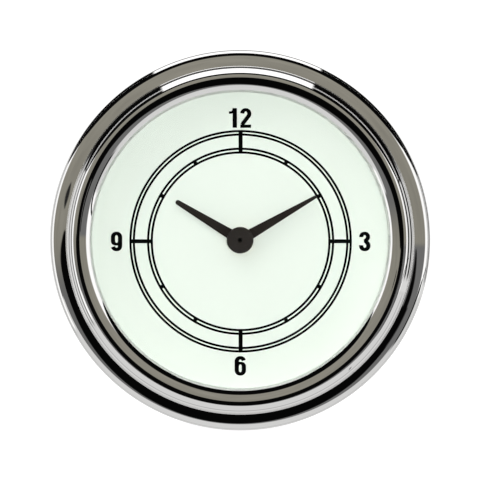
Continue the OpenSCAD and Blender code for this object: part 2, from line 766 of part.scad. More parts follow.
// Hexagon posts from the case back to the front plate.
module movement_posts() {
    color("goldenrod") upright() on_circle(post_circle, post_dirs) difference() {
        union() {
            hex(4 * cell, case_floor, plate_back);
            disc(spigot_r, plate_back - 0.1, plate_front + 0.1);
            disc(rivet_r, plate_front, plate_front + 0.3 * cell);
        }
        disc(post_screw_r + fit_gap, case_floor - 1, case_floor + 7 * cell);
    }
}
module post_screws() {
    color("silver") upright() on_circle(post_circle, post_dirs)
        screw(post_screw_r, case_wall + 6 * cell, 2.5 * cell, 1.5 * cell, case_back);
}

// Push-in bulb holder with two turning ears inside the case.
module lamp_socket() {
    z = case_back;
    grip_r = lamp_neck_r + 0.3;
    color("black") upright() at(lamp_c) difference() {
        union() {
            disc(lamp_neck_r, z - 0.1, z + 3.5 * cell);
            disc(ear_r + 0.2, z - 1.5, z);
            disc(grip_r, z - 8, z - 1.4);
            for (a = [0, 180]) rotate(a)
                block(3 * cell, ear_r, -ear_w, ear_w, case_floor, case_floor + cell);
            for (a = [45, 135, 225, 315]) rotate(a)
                block(3 * cell, ear_r, -0.6 * cell, 0.6 * cell, z - 7, z - 1.4);
        }
        disc(bulb_r + fit_gap, z - 3, z + 5 * cell);
        for (s = [-1, 1]) tag(s, z - 9, z - 2.9);
    }
}
module lamp_bulb() {
    low = case_back - 3;
    color("lightyellow", 0.6) upright() at(lamp_c) rotate_extrude()
        polygon(concat([[0, low], [bulb_r, low]], arc([0, bulb_tip - bulb_r], bulb_r, 90, 0, 8)));
}
// one flat tag of the lamp socket, left or right of its middle
module tag(side, z0, z1) {
    block(side * 1.6 * cell - 0.25, side * 1.6 * cell + 0.25, -1.4 * cell, 1.4 * cell, z0, z1);
}
module lamp_contacts() {
    color("gold") upright() at(lamp_c) for (s = [-1, 1]) tag(s, case_back - 12.5, case_back - 3);
}

// Moulded block through the case back, with a flange inside and three blade slots.
module terminal_block() {
    w = block_size / 2;
    color("saddlebrown") upright() at(block_c) difference() {
        union() {
            block(-w[0] - 1, w[0] + 1, -w[1] - 1, w[1] + 1, case_floor, case_floor + 1.2);
            block(-w[0], w[0], -w[1], w[1], case_back - 2.5, case_floor + 0.1);
        }
        for (i = [-1 : 1]) translate([i * blade_pitch, 0, 0])
            block(-blade_size[0] / 2, blade_size[0] / 2, -blade_size[1] / 2, blade_size[1] / 2,
                case_back - 3, case_floor + 2);
    }
}
// Flat connector blades with a pierced outer end and a narrow tail to the board.
module terminal_blades() {
    w = blade_size / 2;
    t = tail_size / 2;
    color("gold") upright() for (i = [-1 : 1]) at(block_c + [i * blade_pitch, 0]) difference() {
        union() {
            rotate([90, 0, 90]) translate([0, 0, -w[0]]) linear_extrude(blade_size[0]) polygon([
                [-w[1], case_floor + 1.7], [-w[1], blade_end + 1], [-w[1] + 1, blade_end],
                [w[1] - 1, blade_end], [w[1], blade_end + 1], [w[1], case_floor + 1.7]]);
            block(-t[0], t[0], -t[1], t[1], case_floor + 1.6, board_front + 0.3);
        }
        translate([-w[0] - 1, 0, blade_end + 2.6]) rotate([0, 90, 0]) cylinder(r = 0.7, h = 4);
    }
}

// Mounting.

module mounting_studs() {
    color("silver") upright() for (s = [-1, 1]) at([s * stud_spacing / 2, 0]) {
        disc(stud_r + 1.5, case_floor, case_floor + 1.2);
        disc(stud_r, stud_end + 0.5, case_floor + 0.1);
        translate([0, 0, stud_end]) cylinder(r1 = stud_r - 0.5, r2 = stud_r, h = 0.5);
    }
}
module stud_nuts() {
    color("silver") upright() for (s = [-1, 1]) at([s * stud_spacing / 2, 0]) difference() {
        hex(stud_d + 3, case_back - stud_nut_t, case_back);
        disc(stud_r + fit_gap, case_back - stud_nut_t - 1, case_back + 1);
    }
}

// U clamp: a strap across the back and two legs whose feet press on the panel.
module clamp_bracket() {
    xo = leg_x + strap_t;
    zc = strap_front + 0.6;
    right = concat(
        [[xo, feet_z]],
        [for (i = [0 : 6]) [leg_x - 0.6, zc] + (0.6 + strap_t) * [cos(i * 15), -sin(i * 15)]]);
    inside = concat(
        [for (i = [6 : -1 : 0]) [leg_x - 0.6, zc] + 0.6 * [cos(i * 15), -sin(i * 15)]],
        [[leg_x, feet_z]]);
    n = len(right) - 1;
    left = [for (i = [n : -1 : 0]) [-right[i][0], right[i][1]]];
    left_in = [for (i = [n : -1 : 0]) [-inside[i][0], inside[i][1]]];
    color("silver") upright() difference() {
        rotate([90, 0, 0]) translate([0, 0, -strap_w / 2]) linear_extrude(strap_w)
            polygon(concat(right, left, left_in, inside));
        for (s = [-1, 1]) {
            at([s * stud_spacing / 2, 0])
                disc(stud_r + pass_gap, strap_back - 1, strap_front + 1);
            block(s * leg_x - 3, s * leg_x + 3, -2, 2, feet_z - 1.2, feet_z + 1);
        }
    }
}
module clamp_washers() {
    color("silver") upright() for (s = [-1, 1]) at([s * stud_spacing / 2, 0])
        tube(stud_r + 2.6, stud_r + pass_gap, nut_front, strap_back);
}

module thumb_nut(side) {
    color("gold") upright() at([side * stud_spacing / 2, 0]) difference() {
        union() {
            disc(stud_r + 1.9, nut_front - 0.9, nut_front);
            ridged(stud_r + 3, 0.3, 24, nut_front - nut_t + 0.4, nut_front - 0.8);
            disc(stud_r + 2.4, nut_front - nut_t, nut_front - 1);
        }
        disc(stud_r + run_gap, nut_front - nut_t - 1, nut_front + 1);
    }
}
module thumb_nut_left() { thumb_nut(-1); }
module thumb_nut_right() { thumb_nut(1); }

bezel();
bezel_gasket();
lens();
spacer_ring();
dial();
hour_hand();
hour_collet();
minute_hand();
hub_cap();
carrier_ring();
front_plate();
back_plate();
plate_bushes();
plate_pillars();
board_spacers();
plate_screws();
centre_arbor();
friction_spring();
centre_wheel();
cannon_pinion();
minute_wheel();
minute_wheel_stud();
hour_wheel();
third_wheel();
third_arbor();
fourth_wheel();
fourth_arbor();
fifth_wheel();
fifth_arbor();
rotor_magnet();
rotor_arbor();
stator();
stator_screws();
coil_core();
coil_bobbin();
coil_winding();
coil_pins();
set_arbor();
set_knob();
circuit_board();
quartz_crystal();
microchip();
capacitor();
resistors();
case();
movement_posts();
post_screws();
lamp_socket();
lamp_bulb();
lamp_contacts();
terminal_block();
terminal_blades();
mounting_studs();
stud_nuts();
clamp_bracket();
clamp_washers();
thumb_nut_left();
thumb_nut_right();
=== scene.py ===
import math
import bmesh
import bpy
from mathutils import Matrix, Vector


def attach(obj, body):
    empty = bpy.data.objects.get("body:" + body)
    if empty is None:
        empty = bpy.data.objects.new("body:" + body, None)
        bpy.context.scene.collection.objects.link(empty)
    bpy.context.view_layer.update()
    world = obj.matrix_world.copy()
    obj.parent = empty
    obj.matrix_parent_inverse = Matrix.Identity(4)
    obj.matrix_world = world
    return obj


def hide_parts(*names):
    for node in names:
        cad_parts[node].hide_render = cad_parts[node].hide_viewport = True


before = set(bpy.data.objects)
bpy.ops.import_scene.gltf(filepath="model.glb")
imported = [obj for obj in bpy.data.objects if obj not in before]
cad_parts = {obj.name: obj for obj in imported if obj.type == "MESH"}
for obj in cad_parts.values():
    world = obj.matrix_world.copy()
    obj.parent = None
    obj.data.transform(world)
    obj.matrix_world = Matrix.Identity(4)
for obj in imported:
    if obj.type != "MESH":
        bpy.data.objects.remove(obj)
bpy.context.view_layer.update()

# Bezel: one ring of stainless sheet, spun over a former to a narrow rim, a flat band, a crease,
# a rolled crown and an inner slope. It is mirror polished on a lathe, and its back edge is
# crimped inwards behind the case flange.
WINDOW_R, BEZEL_R, SHEET = 23.4, 29.75, 0.6
LIP_Z, LIP_TILT = 4.499, -32
RIM_Z, RIM_TILT = 0.8, 41
CREASE_R, CREASE_DROP = (26.78, 27.05), 0.12
CRIMP_W = 2.15
# Arcs of the section: radius, tilt of the normal at start and end, number of steps.
ROLL = ((4.37, LIP_TILT, -9.7, 12), (1.62, -9.7, 35, 17), (2.1665, 35, 90, 17))
BAND = ((-0.15, 90, 8, 8), (19.7, 8, 11, 8), (3.8, 11, 25, 8), (1.97, 25, 32.5, 8),
        (0.25, 32.5, RIM_TILT, 8))


def upright(x, y, z):
    """Millimetres to the right, up and towards the viewer, as a point of the frame."""
    return Vector((x, -z, y)) / 1000


def facing(tilt, r=1.0):
    """A length r along a normal, as radius and height, by its tilt from facing the viewer."""
    return (r * math.sin(math.radians(tilt)), r * math.cos(math.radians(tilt)))


def arc(centre, r, start, end, count=8):
    """Points (radius, height) of an arc, by the tilt of its normal from facing the viewer."""
    tilts = [start + (end - start) * i / count for i in range(count + 1)]
    return [(centre[0] + facing(t, r)[0], centre[1] + facing(t, r)[1]) for t in tilts]


def spun(profile, steps=128, centre=(0, 0), closed=False, shape=None):
    """Turns a profile of (radius, height) round an axis. shape(radius, height, angle) can
    change the radius on the way, for ridges, flats and threads."""
    points, rows, faces = [], [], []
    for r, z in profile:
        row = []
        for i in range(steps if r > 1e-6 else 1):
            a = 2 * math.pi * i / steps
            own = shape(r, z, a) if shape else r
            row.append(len(points))
            points.append((centre[0] + own * math.cos(a), centre[1] + own * math.sin(a), z))
        rows.append(row)
    pairs = list(zip(rows, rows[1:])) + ([(rows[-1], rows[0])] if closed else [])
    for low, high in pairs:
        for i in range(steps):
            j = (i + 1) % steps
            face = (low[i % len(low)], low[j % len(low)], high[j % len(high)], high[i % len(high)])
            face = tuple(dict.fromkeys(face))
            if len(face) > 2:
                faces.append(face)
    return points, faces


def smooth(mesh, crease=32):
    mesh.shade_smooth()
    mesh.set_sharp_from_angle(angle=math.radians(crease))


def make(name, parts, material, body, nodes=(), crease=32, weld=False):
    """Joins parts given in clock millimetres into one piece that rides on a body."""
    mesh = bpy.data.meshes.new(name)
    joined = bmesh.new()
    for points, faces in parts:
        corners = [joined.verts.new(upright(*p)) for p in points]
        for face in faces:
            joined.faces.new([corners[i] for i in face])
    if weld:
        bmesh.ops.remove_doubles(joined, verts=joined.verts, dist=1e-7)
    bmesh.ops.recalc_face_normals(joined, faces=joined.faces)
    joined.to_mesh(mesh)
    joined.free()
    smooth(mesh, crease)
    mesh.materials.append(material)
    made = bpy.data.objects.new(name, mesh)
    bpy.context.scene.collection.objects.link(made)
    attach(made, body)
    if nodes:
        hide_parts(*nodes)
    return made


def node(tree, kind, inputs=None, **settings):
    """Adds a shader node, with each input set to a value or linked from a socket."""
    made = tree.nodes.new("ShaderNode" + kind)
    for key, value in settings.items():
        setattr(made, key, value)
    for key, value in (inputs or {}).items():
        if isinstance(value, bpy.types.NodeSocket):
            tree.links.new(value, made.inputs[key])
        else:
            made.inputs[key].default_value = value
    return made


def effect(name, inputs, outputs):
    """Starts a node group for a shared surface effect, with its named inputs and outputs."""
    kinds = {float: "NodeSocketFloat", tuple: "NodeSocketColor", list: "NodeSocketVector"}
    group = bpy.data.node_groups.new(name, "ShaderNodeTree")
    for key, value in inputs.items():
        socket = group.interface.new_socket(key, in_out="INPUT", socket_type=kinds[type(value)])
        socket.default_value = value
    for key, kind in outputs.items():
        group.interface.new_socket(key, in_out="OUTPUT", socket_type=kinds[kind])
    ends = [group.nodes.new("NodeGroup" + end) for end in ("Input", "Output")]
    return group, ends[0].outputs, ends[1].inputs


def use(tree, group, inputs):
    return node(tree, "Group", inputs, node_tree=group)


def math_node(tree, operation, a, b=0.0, c=0.0):
    return node(tree, "Math", {0: a, 1: b, 2: c}, operation=operation).outputs[0]


def spread(tree, value, low, high, to_low, to_high):
    """Maps a value from one span to another, clamped."""
    return node(tree, "MapRange", {"Value": value, "From Min": low, "From Max": high,
                                   "To Min": to_low, "To Max": to_high}).outputs[0]


def in_millimetres(tree, size):
    """The surface's own coordinates, in lengths of size millimetres."""
    here = node(tree, "TexCoord").outputs["Object"]
    scale = math_node(tree, "DIVIDE", 1000.0, size)
    return node(tree, "VectorMath", {0: here, "Scale": scale}, operation="SCALE").outputs[0]


haze, given, out = effect("Polish haze", {"Size": 8.0, "Clean": 0.02, "Hazy": 0.05},
                          {"Roughness": float})
cloud = node(haze, "TexNoise", {"Vector": in_millimetres(haze, given["Size"]), "Scale": 1.0,
                                "Detail": 4.0, "Roughness": 0.6})
haze.links.new(spread(haze, cloud.outputs[0], 0.38, 0.66, given["Clean"], given["Hazy"]),
               out["Roughness"])

turning, given, out = effect("Turning marks", {"Centre": [0.0, 0.0, 0.0], "Pitch": 0.2,
                                               "Depth": 0.01}, {"Height": float})
from_axis = node(turning, "VectorMath", {0: node(turning, "TexCoord").outputs["Object"],
                                         1: given["Centre"]}, operation="SUBTRACT").outputs[0]
flat = node(turning, "VectorMath", {0: from_axis, 1: (1.0, 0.0, 1.0)}, operation="MULTIPLY")
reach = node(turning, "VectorMath", {0: flat.outputs[0]}, operation="LENGTH").outputs["Value"]
rows = math_node(turning, "DIVIDE", math_node(turning, "MULTIPLY", reach, 1000.0), given["Pitch"])
lines = node(turning, "TexNoise", {"W": rows, "Scale": 1.0, "Detail": 2.0},
             noise_dimensions="1D")
turning.links.new(math_node(turning, "MULTIPLY", lines.outputs[0], given["Depth"]), out["Height"])

scratches, given, out = effect("Hairline scratches", {"Size": 6.0, "Depth": 0.01},
                               {"Height": float})
place = in_millimetres(scratches, given["Size"])
total = None
for turn, threshold in ((0.4, 0.69), (1.7, 0.7), (2.6, 0.71)):
    laid = node(scratches, "Mapping", {"Vector": place, "Rotation": (turn / 3, turn, turn * 2),
                                       "Scale": (60.0, 0.8, 9.0)}).outputs[0]
    streak = node(scratches, "TexNoise", {"Vector": laid, "Scale": 1.0, "Detail": 1.0}).outputs[0]
    line = spread(scratches, streak, threshold, threshold + 0.05, 0.0, 1.0)
    total = line if total is None else math_node(scratches, "ADD", total, line)
deep = math_node(scratches, "MULTIPLY", given["Depth"], -1.0)
scratches.links.new(math_node(scratches, "MULTIPLY", total, deep), out["Height"])

ring_mask, given, out = effect("Ring mask", {"From": 0.0, "To": 1.0, "Soft": 0.05},
                               {"Mask": float})
flat = node(ring_mask, "VectorMath", {0: node(ring_mask, "TexCoord").outputs["Object"],
                                      1: (1000.0, 0.0, 1000.0)}, operation="MULTIPLY").outputs[0]
reach = node(ring_mask, "VectorMath", {0: flat}, operation="LENGTH").outputs["Value"]
sides = [node(ring_mask, "MapRange", {
    "Value": reach, "From Min": math_node(ring_mask, "SUBTRACT", given[edge], given["Soft"]),
    "From Max": math_node(ring_mask, "ADD", given[edge], given["Soft"]),
    "To Min": low, "To Max": 1.0 - low}).outputs[0] for edge, low in (("From", 0.0), ("To", 1.0))]
ring_mask.links.new(math_node(ring_mask, "MULTIPLY", *sides), out["Mask"])


def finish(name, metallic=0.0, **plain):
    """A material with its Principled shader, and the plain sockets set."""
    made = bpy.data.materials.new(name)
    made.use_nodes = True
    shader = made.node_tree.nodes["Principled BSDF"]
    shader.inputs["Metallic"].default_value = metallic
    for key, value in plain.items():
        shader.inputs[key.replace("_", " ")].default_value = value
    return made, made.node_tree, shader.inputs


def raise_surface(tree, sockets, heights, distance=0.00002):
    """Feeds the sum of some heights to the shader's normal."""
    total = heights[0]
    for more in heights[1:]:
        total = math_node(tree, "ADD", total, more)
    bump = node(tree, "Bump", {"Height": total, "Distance": distance})
    tree.links.new(bump.outputs[0], sockets["Normal"])


polished_steel, tree, sockets = finish("Polished steel", 1.0)
tree.links.new(use(tree, haze, {"Size": 9.0, "Clean": 0.012, "Hazy": 0.035}).outputs[0],
               sockets["Roughness"])
# A dark line is painted into the upper part of the crease: painted shade, standing in for the dark
# line that the crease shows in its reflection.
height = node(tree, "SeparateXYZ", {0: in_millimetres(tree, 1.0)}).outputs["Z"]
in_crease = use(tree, ring_mask, {"From": CREASE_R[0], "To": CREASE_R[1], "Soft": 0.03}).outputs[0]
painted_crease_shade = math_node(tree, "MULTIPLY", in_crease, spread(tree, height, 9.0, 13.0, 0.0, 0.97))
painted_shade_tint = node(tree, "Mix", {0: painted_crease_shade, 6: (0.90, 0.895, 0.885, 1), 7: (0.01, 0.01, 0.01, 1)},
            data_type="RGBA")
tree.links.new(painted_shade_tint.outputs[2], sockets["Base Color"])
raise_surface(tree, sockets, [
    use(tree, turning, {"Pitch": 0.35, "Depth": 0.02}).outputs[0],
    use(tree, scratches, {"Size": 7.0, "Depth": 0.01}).outputs[0]], 0.00001)


def bend(path, r, start, end, count):
    """Adds an arc where the path ends, with the tilt of its normal kept for each point."""
    x, z, out_x, out_z = path[-1][0], path[-1][1], *facing(start, r)
    for i in range(count + 1):
        t = start + (end - start) * i / count
        path.append((x - out_x + facing(t, r)[0], z - out_z + facing(t, r)[1], t))


front = [(WINDOW_R, LIP_Z + facing(LIP_TILT, SHEET)[1])]
for stretch in ROLL:
    bend(front, *stretch)
front.append((front[-1][0], front[-1][1] - CREASE_DROP, 90))
for stretch in BAND:
    bend(front, *stretch)
bend(front, (BEZEL_R - front[-1][0]) / (1 - facing(RIM_TILT)[0]), RIM_TILT, 90, 12)
front.append((BEZEL_R, RIM_Z, 90))
bend(front, RIM_Z, 90, 180, 10)
front.append((BEZEL_R - CRIMP_W, 0.0, 180))
back = [(x - facing(t, SHEET)[0], z - facing(t, SHEET)[1]) for x, z, t in reversed(front[1:])]
make("bezel_ring", [spun([point[:2] for point in front[1:]] + back, 288, closed=True)],
     polished_steel, "clock_case", ["bezel"], 40)

# Gasket: a flat ring cut from black rubber sheet. It lies on the rim of the glass, and the bezel
# squeezes it when its back edge is crimped.
rubber, tree, sockets = finish("Black rubber", Base_Color=(0.012, 0.012, 0.013, 1))
grain, given, out = effect("Moulded grain", {"Size": 0.3, "Depth": 0.1}, {"Height": float})
speckle = node(grain, "TexNoise", {"Vector": in_millimetres(grain, given["Size"]), "Scale": 1.0,
                                   "Detail": 3.0, "Roughness": 0.55})
grain.links.new(math_node(grain, "MULTIPLY", speckle.outputs[0], given["Depth"]), out["Height"])
tree.links.new(use(tree, haze, {"Size": 2.0, "Clean": 0.55, "Hazy": 0.8}).outputs[0],
               sockets["Roughness"])
raise_surface(tree, sockets, [use(tree, grain, {"Size": 0.25, "Depth": 0.6}).outputs[0]])


def dress(material, *nodes):
    """Gives carried-over CAD nodes a material."""
    for name in nodes:
        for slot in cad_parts[name].material_slots:
            slot.material = material


dress(rubber, "bezel_gasket")

# Front glass: a flat disc of clear float glass, 2 mm thick, with a small ground bevel round
# both edges. It lies in the spacer ring and is held by the bezel through the gasket.
front_glass, tree, sockets = finish("Front glass", Base_Color=(0.97, 0.99, 0.98, 1),
                                    Transmission_Weight=1.0, IOR=1.5)
tree.links.new(use(tree, haze, {"Size": 14.0, "Clean": 0.0, "Hazy": 0.006}).outputs[0],
               sockets["Roughness"])
clear = node(tree, "BsdfTransparent")
let_light = node(tree, "MixShader", {
    0: node(tree, "LightPath").outputs["Is Shadow Ray"],
    1: tree.nodes["Principled BSDF"].outputs[0], 2: clear.outputs[0]})
tree.links.new(let_light.outputs[0], tree.nodes["Material Output"].inputs["Surface"])
GLASS_R, GLASS_BACK, GLASS_FACE, BEVEL = 26.3, 2.0, 4.0, 0.2
glass = [(0, GLASS_BACK), (GLASS_R - BEVEL, GLASS_BACK), (GLASS_R, GLASS_BACK + BEVEL),
         (GLASS_R, GLASS_FACE - BEVEL), (GLASS_R - BEVEL, GLASS_FACE), (0, GLASS_FACE)]
make("front_glass", [spun(glass, 160)], front_glass, "clock_case", ["lens"], 20)

# Spacer ring: white moulded plastic. Its ledge carries the glass and its wall stands on the
# dial, so that only its rounded inner edge shows between the bezel and the dial.
white_plastic, tree, sockets = finish("White moulded plastic", Specular_IOR_Level=0.4)
drift, given, out = effect("Colour drift", {"Color": (0.8, 0.8, 0.8, 1.0), "Drift": 0.05,
                                            "Size": 5.0}, {"Color": tuple})
patch = node(drift, "TexNoise", {"Vector": in_millimetres(drift, given["Size"]), "Scale": 1.0,
                                 "Detail": 3.0})
darker = math_node(drift, "SUBTRACT", 1.0, given["Drift"])
factor = spread(drift, patch.outputs[0], 0.3, 0.7, darker, 1.0)
tinted = node(drift, "VectorMath", {0: given["Color"], "Scale": factor}, operation="SCALE")
drift.links.new(tinted.outputs[0], out["Color"])
tree.links.new(use(tree, drift, {"Color": (0.80, 0.80, 0.785, 1), "Drift": 0.05,
                                 "Size": 3.0}).outputs[0], sockets["Base Color"])
tree.links.new(use(tree, haze, {"Size": 2.0, "Clean": 0.38, "Hazy": 0.5}).outputs[0],
               sockets["Roughness"])
raise_surface(tree, sockets, [use(tree, grain, {"Size": 0.2, "Depth": 0.15}).outputs[0]])
DIAL_FACE = -2.8
WALL_IN, WALL_OUT, LEDGE_R, LEDGE_BACK = 23.3, 25.2, 27.6, 1.4
LIP_R = 0.3
lip = (23.75, GLASS_BACK - LIP_R)
ring = [(WALL_IN, DIAL_FACE), (WALL_OUT, DIAL_FACE), (WALL_OUT, 0.8), (WALL_OUT - 0.2, 1.0),
        (WALL_OUT - 0.2, LEDGE_BACK), (LEDGE_R, LEDGE_BACK), (LEDGE_R, GLASS_BACK),
        (lip[0], GLASS_BACK)]
ring += arc(lip, LIP_R, 0, -88, 6)
make("spacer_ring_moulding", [spun(ring, 192, closed=True)], white_plastic, "clock_case",
     ["spacer_ring"])

# Dial: a steel disc with a stoved enamel face in a cool, faintly green white. The scale is
# screen printed in black: two pairs of thin rings, joined by bars at the quarter hours and by
# short ticks at the others, with four plain figures outside them.
dial_enamel, tree, sockets = finish("Dial enamel", Specular_IOR_Level=0.35)
tree.links.new(use(tree, drift, {"Color": (0.872, 0.935, 0.862, 1), "Drift": 0.015,
                                 "Size": 7.0}).outputs[0], sockets["Base Color"])
tree.links.new(use(tree, haze, {"Size": 5.0, "Clean": 0.4, "Hazy": 0.48}).outputs[0],
               sockets["Roughness"])
raise_surface(tree, sockets, [use(tree, grain, {"Size": 0.35, "Depth": 0.06}).outputs[0]])
dress(dial_enamel, "dial")

printed_ink, tree, sockets = finish("Printed black ink", Specular_IOR_Level=0.05)
tree.links.new(use(tree, drift, {"Color": (0.0015, 0.0015, 0.0015, 1), "Drift": 0.3,
                                 "Size": 1.0}).outputs[0], sockets["Base Color"])
tree.links.new(use(tree, haze, {"Size": 0.6, "Clean": 0.7, "Hazy": 0.8}).outputs[0],
               sockets["Roughness"])
raise_surface(tree, sockets, [use(tree, grain, {"Size": 0.08, "Depth": 0.1}).outputs[0]])
PRINT_LOW, PRINT_TOP = DIAL_FACE, DIAL_FACE + 0.014
RINGS = (13.98, 14.56, 16.80, 17.34)
LINE_W, QUARTER_W, HOUR_W = 0.36, 0.58, 0.57
QUARTER_PAST = 0.13
UPRIGHT_SPREAD, LEVEL_SPREAD = 0.06, 0.04
FIGURE_TALL, FIGURE_WIDE = 3.08, 1.74


def printed_ring(r):
    inner, outer = r - LINE_W / 2, r + LINE_W / 2
    return spun([(inner, PRINT_LOW), (inner, PRINT_TOP), (outer, PRINT_TOP), (outer, PRINT_LOW)],
                240, closed=True)


def ribbon(path, upright_w, level_w):
    """A printed stroke along a path, wide where it runs up and thinner where it runs level. The
    ink spreads a little beyond both widths."""
    upright_w, level_w = upright_w + UPRIGHT_SPREAD, level_w + LEVEL_SPREAD
    points, faces = [], []
    for i, (x, y) in enumerate(path):
        before, after = path[max(i - 1, 0)], path[min(i + 1, len(path) - 1)]
        along = Vector((after[0] - before[0], after[1] - before[1])).normalized()
        half = (level_w + (upright_w - level_w) * abs(along.y)) / 2
        side = Vector((-along.y, along.x)) * half
        for z in (PRINT_LOW, PRINT_TOP):
            points += [(x + side.x, y + side.y, z), (x - side.x, y - side.y, z)]
    for i in range(len(path) - 1):
        a, b = 4 * i, 4 * i + 4
        for p, q in ((0, 1), (1, 3), (3, 2), (2, 0)):
            faces.append((a + p, a + q, b + q, b + p))
    last = 4 * len(path) - 4
    faces += [(0, 1, 3, 2), (last, last + 2, last + 3, last + 1)]
    return points, faces


def bow(x, y, rx, ry, start, end, count=20):
    """Points of an arc of an ellipse, between two angles in degrees."""
    angles = [math.radians(start + (end - start) * i / count) for i in range(count + 1)]
    return [(x + rx * math.cos(a), y + ry * math.sin(a)) for a in angles]


# The strokes of each figure, with its lower left corner at 0, 0.
SIX = [ribbon(bow(0.86, 2.23, 0.56, 0.58, 14, 180)[:-1]
              + bow(0.86, 0.85, 0.56, 0.58, 180, 360), 0.62, 0.48),
       ribbon(bow(0.86, 0.85, 0.56, 0.58, 330, 360, 4)[:-1]
              + bow(0.86, 1.44, 0.56, 0.53, 0, 176), 0.62, 0.36)]
THREE = [ribbon(bow(0.83, 2.27, 0.53, 0.55, 186, -52) + [(0.98, 1.68), (0.72, 1.63)], 0.6, 0.46),
         ribbon([(0.72, 1.63), (0.98, 1.6)] + bow(0.85, 0.87, 0.57, 0.6, 52, -188), 0.62, 0.48)]
TWO = [ribbon(bow(0.86, 2.2, 0.56, 0.62, 176, 0)
              + bow(0.4, 2.2, 1.02, 0.8, 0, -40, 6)[1:]
              + [(0.8, 1.17), (0.45, 0.72), (0.33, 0.45)], 0.6, 0.46),
       ribbon([(0.0, 0.23), (1.7, 0.23)], 0, 0.46)]
ONE = [ribbon([(0.93, 0.0), (0.93, 3.08)], 0.63, 0.3),
       ribbon([(0.0, 2.37), (0.4, 2.4), (0.62, 2.52), (0.76, 2.72), (0.84, 3.08)], 0.42, 0.34)]


def upside_down(strokes):
    """Gives a figure half a turn within its own box."""
    return [([(FIGURE_WIDE - x, FIGURE_TALL - y, z) for x, y, z in points], faces)
            for points, faces in strokes]


def moved(parts, right, up):
    return [([(x + right, y + up, z) for x, y, z in points], faces) for points, faces in parts]


def tick(hour, low, high, wide):
    a = math.radians(90 - 30 * hour)
    ends = [(r * math.cos(a), r * math.sin(a)) for r in (low, high)]
    return ribbon(ends, wide, wide)


scale = [printed_ring(r) for r in RINGS]
scale += [tick(h, RINGS[0] - QUARTER_PAST, RINGS[3] + QUARTER_PAST, QUARTER_W)
          for h in (0, 3, 6, 9)]
scale += [tick(h, RINGS[0], RINGS[1], HOUR_W) for h in (1, 2, 4, 5, 7, 8, 10, 11)]
# The print lies slightly right and low of the axis.
REGISTER = (0.063, -0.17)
make("dial_scale", moved(scale, *REGISTER), printed_ink, "clock_case")
# Each figure, with the place of its lower left corner.
FIGURES = ((ONE, -1.78, 17.71), (TWO, 0.01, 17.71), (THREE, 18.76, -1.74), (SIX, -0.84, -21.32),
           (upside_down(SIX), -20.35, -1.74))
figures = [stroke for strokes, x, y in FIGURES for stroke in moved(strokes, x, y)]
make("dial_figures", figures, printed_ink, "clock_case")

# Hands: blanked from thin steel, tapered, with softened edges, and painted satin black. The
# hour hand is riveted to a brass collet on the hour wheel's pipe, and the minute hand sits on
# the cannon pinion above it.
hand_paint, tree, sockets = finish("Satin black hand paint", Specular_IOR_Level=0.25)
tree.links.new(use(tree, drift, {"Color": (0.020, 0.016, 0.014, 1), "Drift": 0.25,
                                 "Size": 2.5}).outputs[0], sockets["Base Color"])
tree.links.new(use(tree, haze, {"Size": 1.2, "Clean": 0.4, "Hazy": 0.55}).outputs[0],
               sockets["Roughness"])
raise_surface(tree, sockets, [use(tree, grain, {"Size": 0.16, "Depth": 0.25}).outputs[0]])


def plate(outline, z0, z1, edge=0.05):
    """A flat piece cut along an outline, with its front and back edges softened."""
    loops, count = [], len(outline)
    levels = ((z0, edge), (z0 + edge * 0.3, edge * 0.3), (z0 + edge, 0),
              (z1 - edge, 0), (z1 - edge * 0.3, edge * 0.3), (z1, edge))
    for z, inset in levels:
        for i, (x, y) in enumerate(outline):
            a = Vector(outline[i - 1])
            b, c = Vector((x, y)), Vector(outline[(i + 1) % count])
            n1 = Vector(((b - a).y, -(b - a).x)).normalized()
            n2 = Vector(((c - b).y, -(c - b).x)).normalized()
            mid = (n1 + n2).normalized()
            p = b - mid * inset / max(mid.dot(n1), 0.4)
            loops.append((p.x, p.y, z))
    faces = []
    for k in range(len(levels) - 1):
        for i in range(count):
            j = (i + 1) % count
            faces.append((k * count + i, k * count + j, (k + 1) * count + j, (k + 1) * count + i))
    faces += [tuple(range(count)), tuple(range(len(loops) - count, len(loops)))]
    return loops, faces


def swung(part, angle, centre=(0, 0)):
    """Turns a part anticlockwise about the axis, by degrees, and moves it to a centre."""
    c, s = math.cos(math.radians(angle)), math.sin(math.radians(angle))
    points, faces = part
    return [(centre[0] + x * c - y * s, centre[1] + x * s + y * c, z) for x, y, z in points], faces


HAND_T, EYE_R, EYE_EDGE = 0.3, 2.0, 0.06
BLADE_FROM = 1.85


def hand_parts(length, root_w, tip_w, bore, angle, z):
    """A tapered hand with a round eye, pointing along a clock angle. Its root width is measured
    at the axis, and the blade starts just inside the eye's rim."""
    end = length - tip_w / 2
    root = root_w / 2 - (root_w - tip_w) / 2 / end * BLADE_FROM
    outline = [(root, BLADE_FROM)] + bow(0, end, tip_w / 2, tip_w / 2, 0, 180, 12)
    outline.append((-root, BLADE_FROM))
    blade = swung(plate(outline, z, z + HAND_T), -angle)
    eye = spun([(bore, z), (EYE_R - EYE_EDGE, z), (EYE_R, z + EYE_EDGE),
                (EYE_R, z + HAND_T - EYE_EDGE), (EYE_R - EYE_EDGE, z + HAND_T),
                (bore, z + HAND_T)], 64, closed=True)
    return [blade, eye]


hour_parts = hand_parts(length=11.82, root_w=1.78, tip_w=0.78, bore=1.75, angle=301.2, z=-1.6)
make("hour_hand_blade", hour_parts, hand_paint, "hour_hand", ["hour_hand"])
minute_parts = hand_parts(length=13.8, root_w=1.79, tip_w=0.51, bore=0.9, angle=60.1, z=-0.4)
make("minute_hand_blade", minute_parts, hand_paint, "minute_hand", ["minute_hand"])

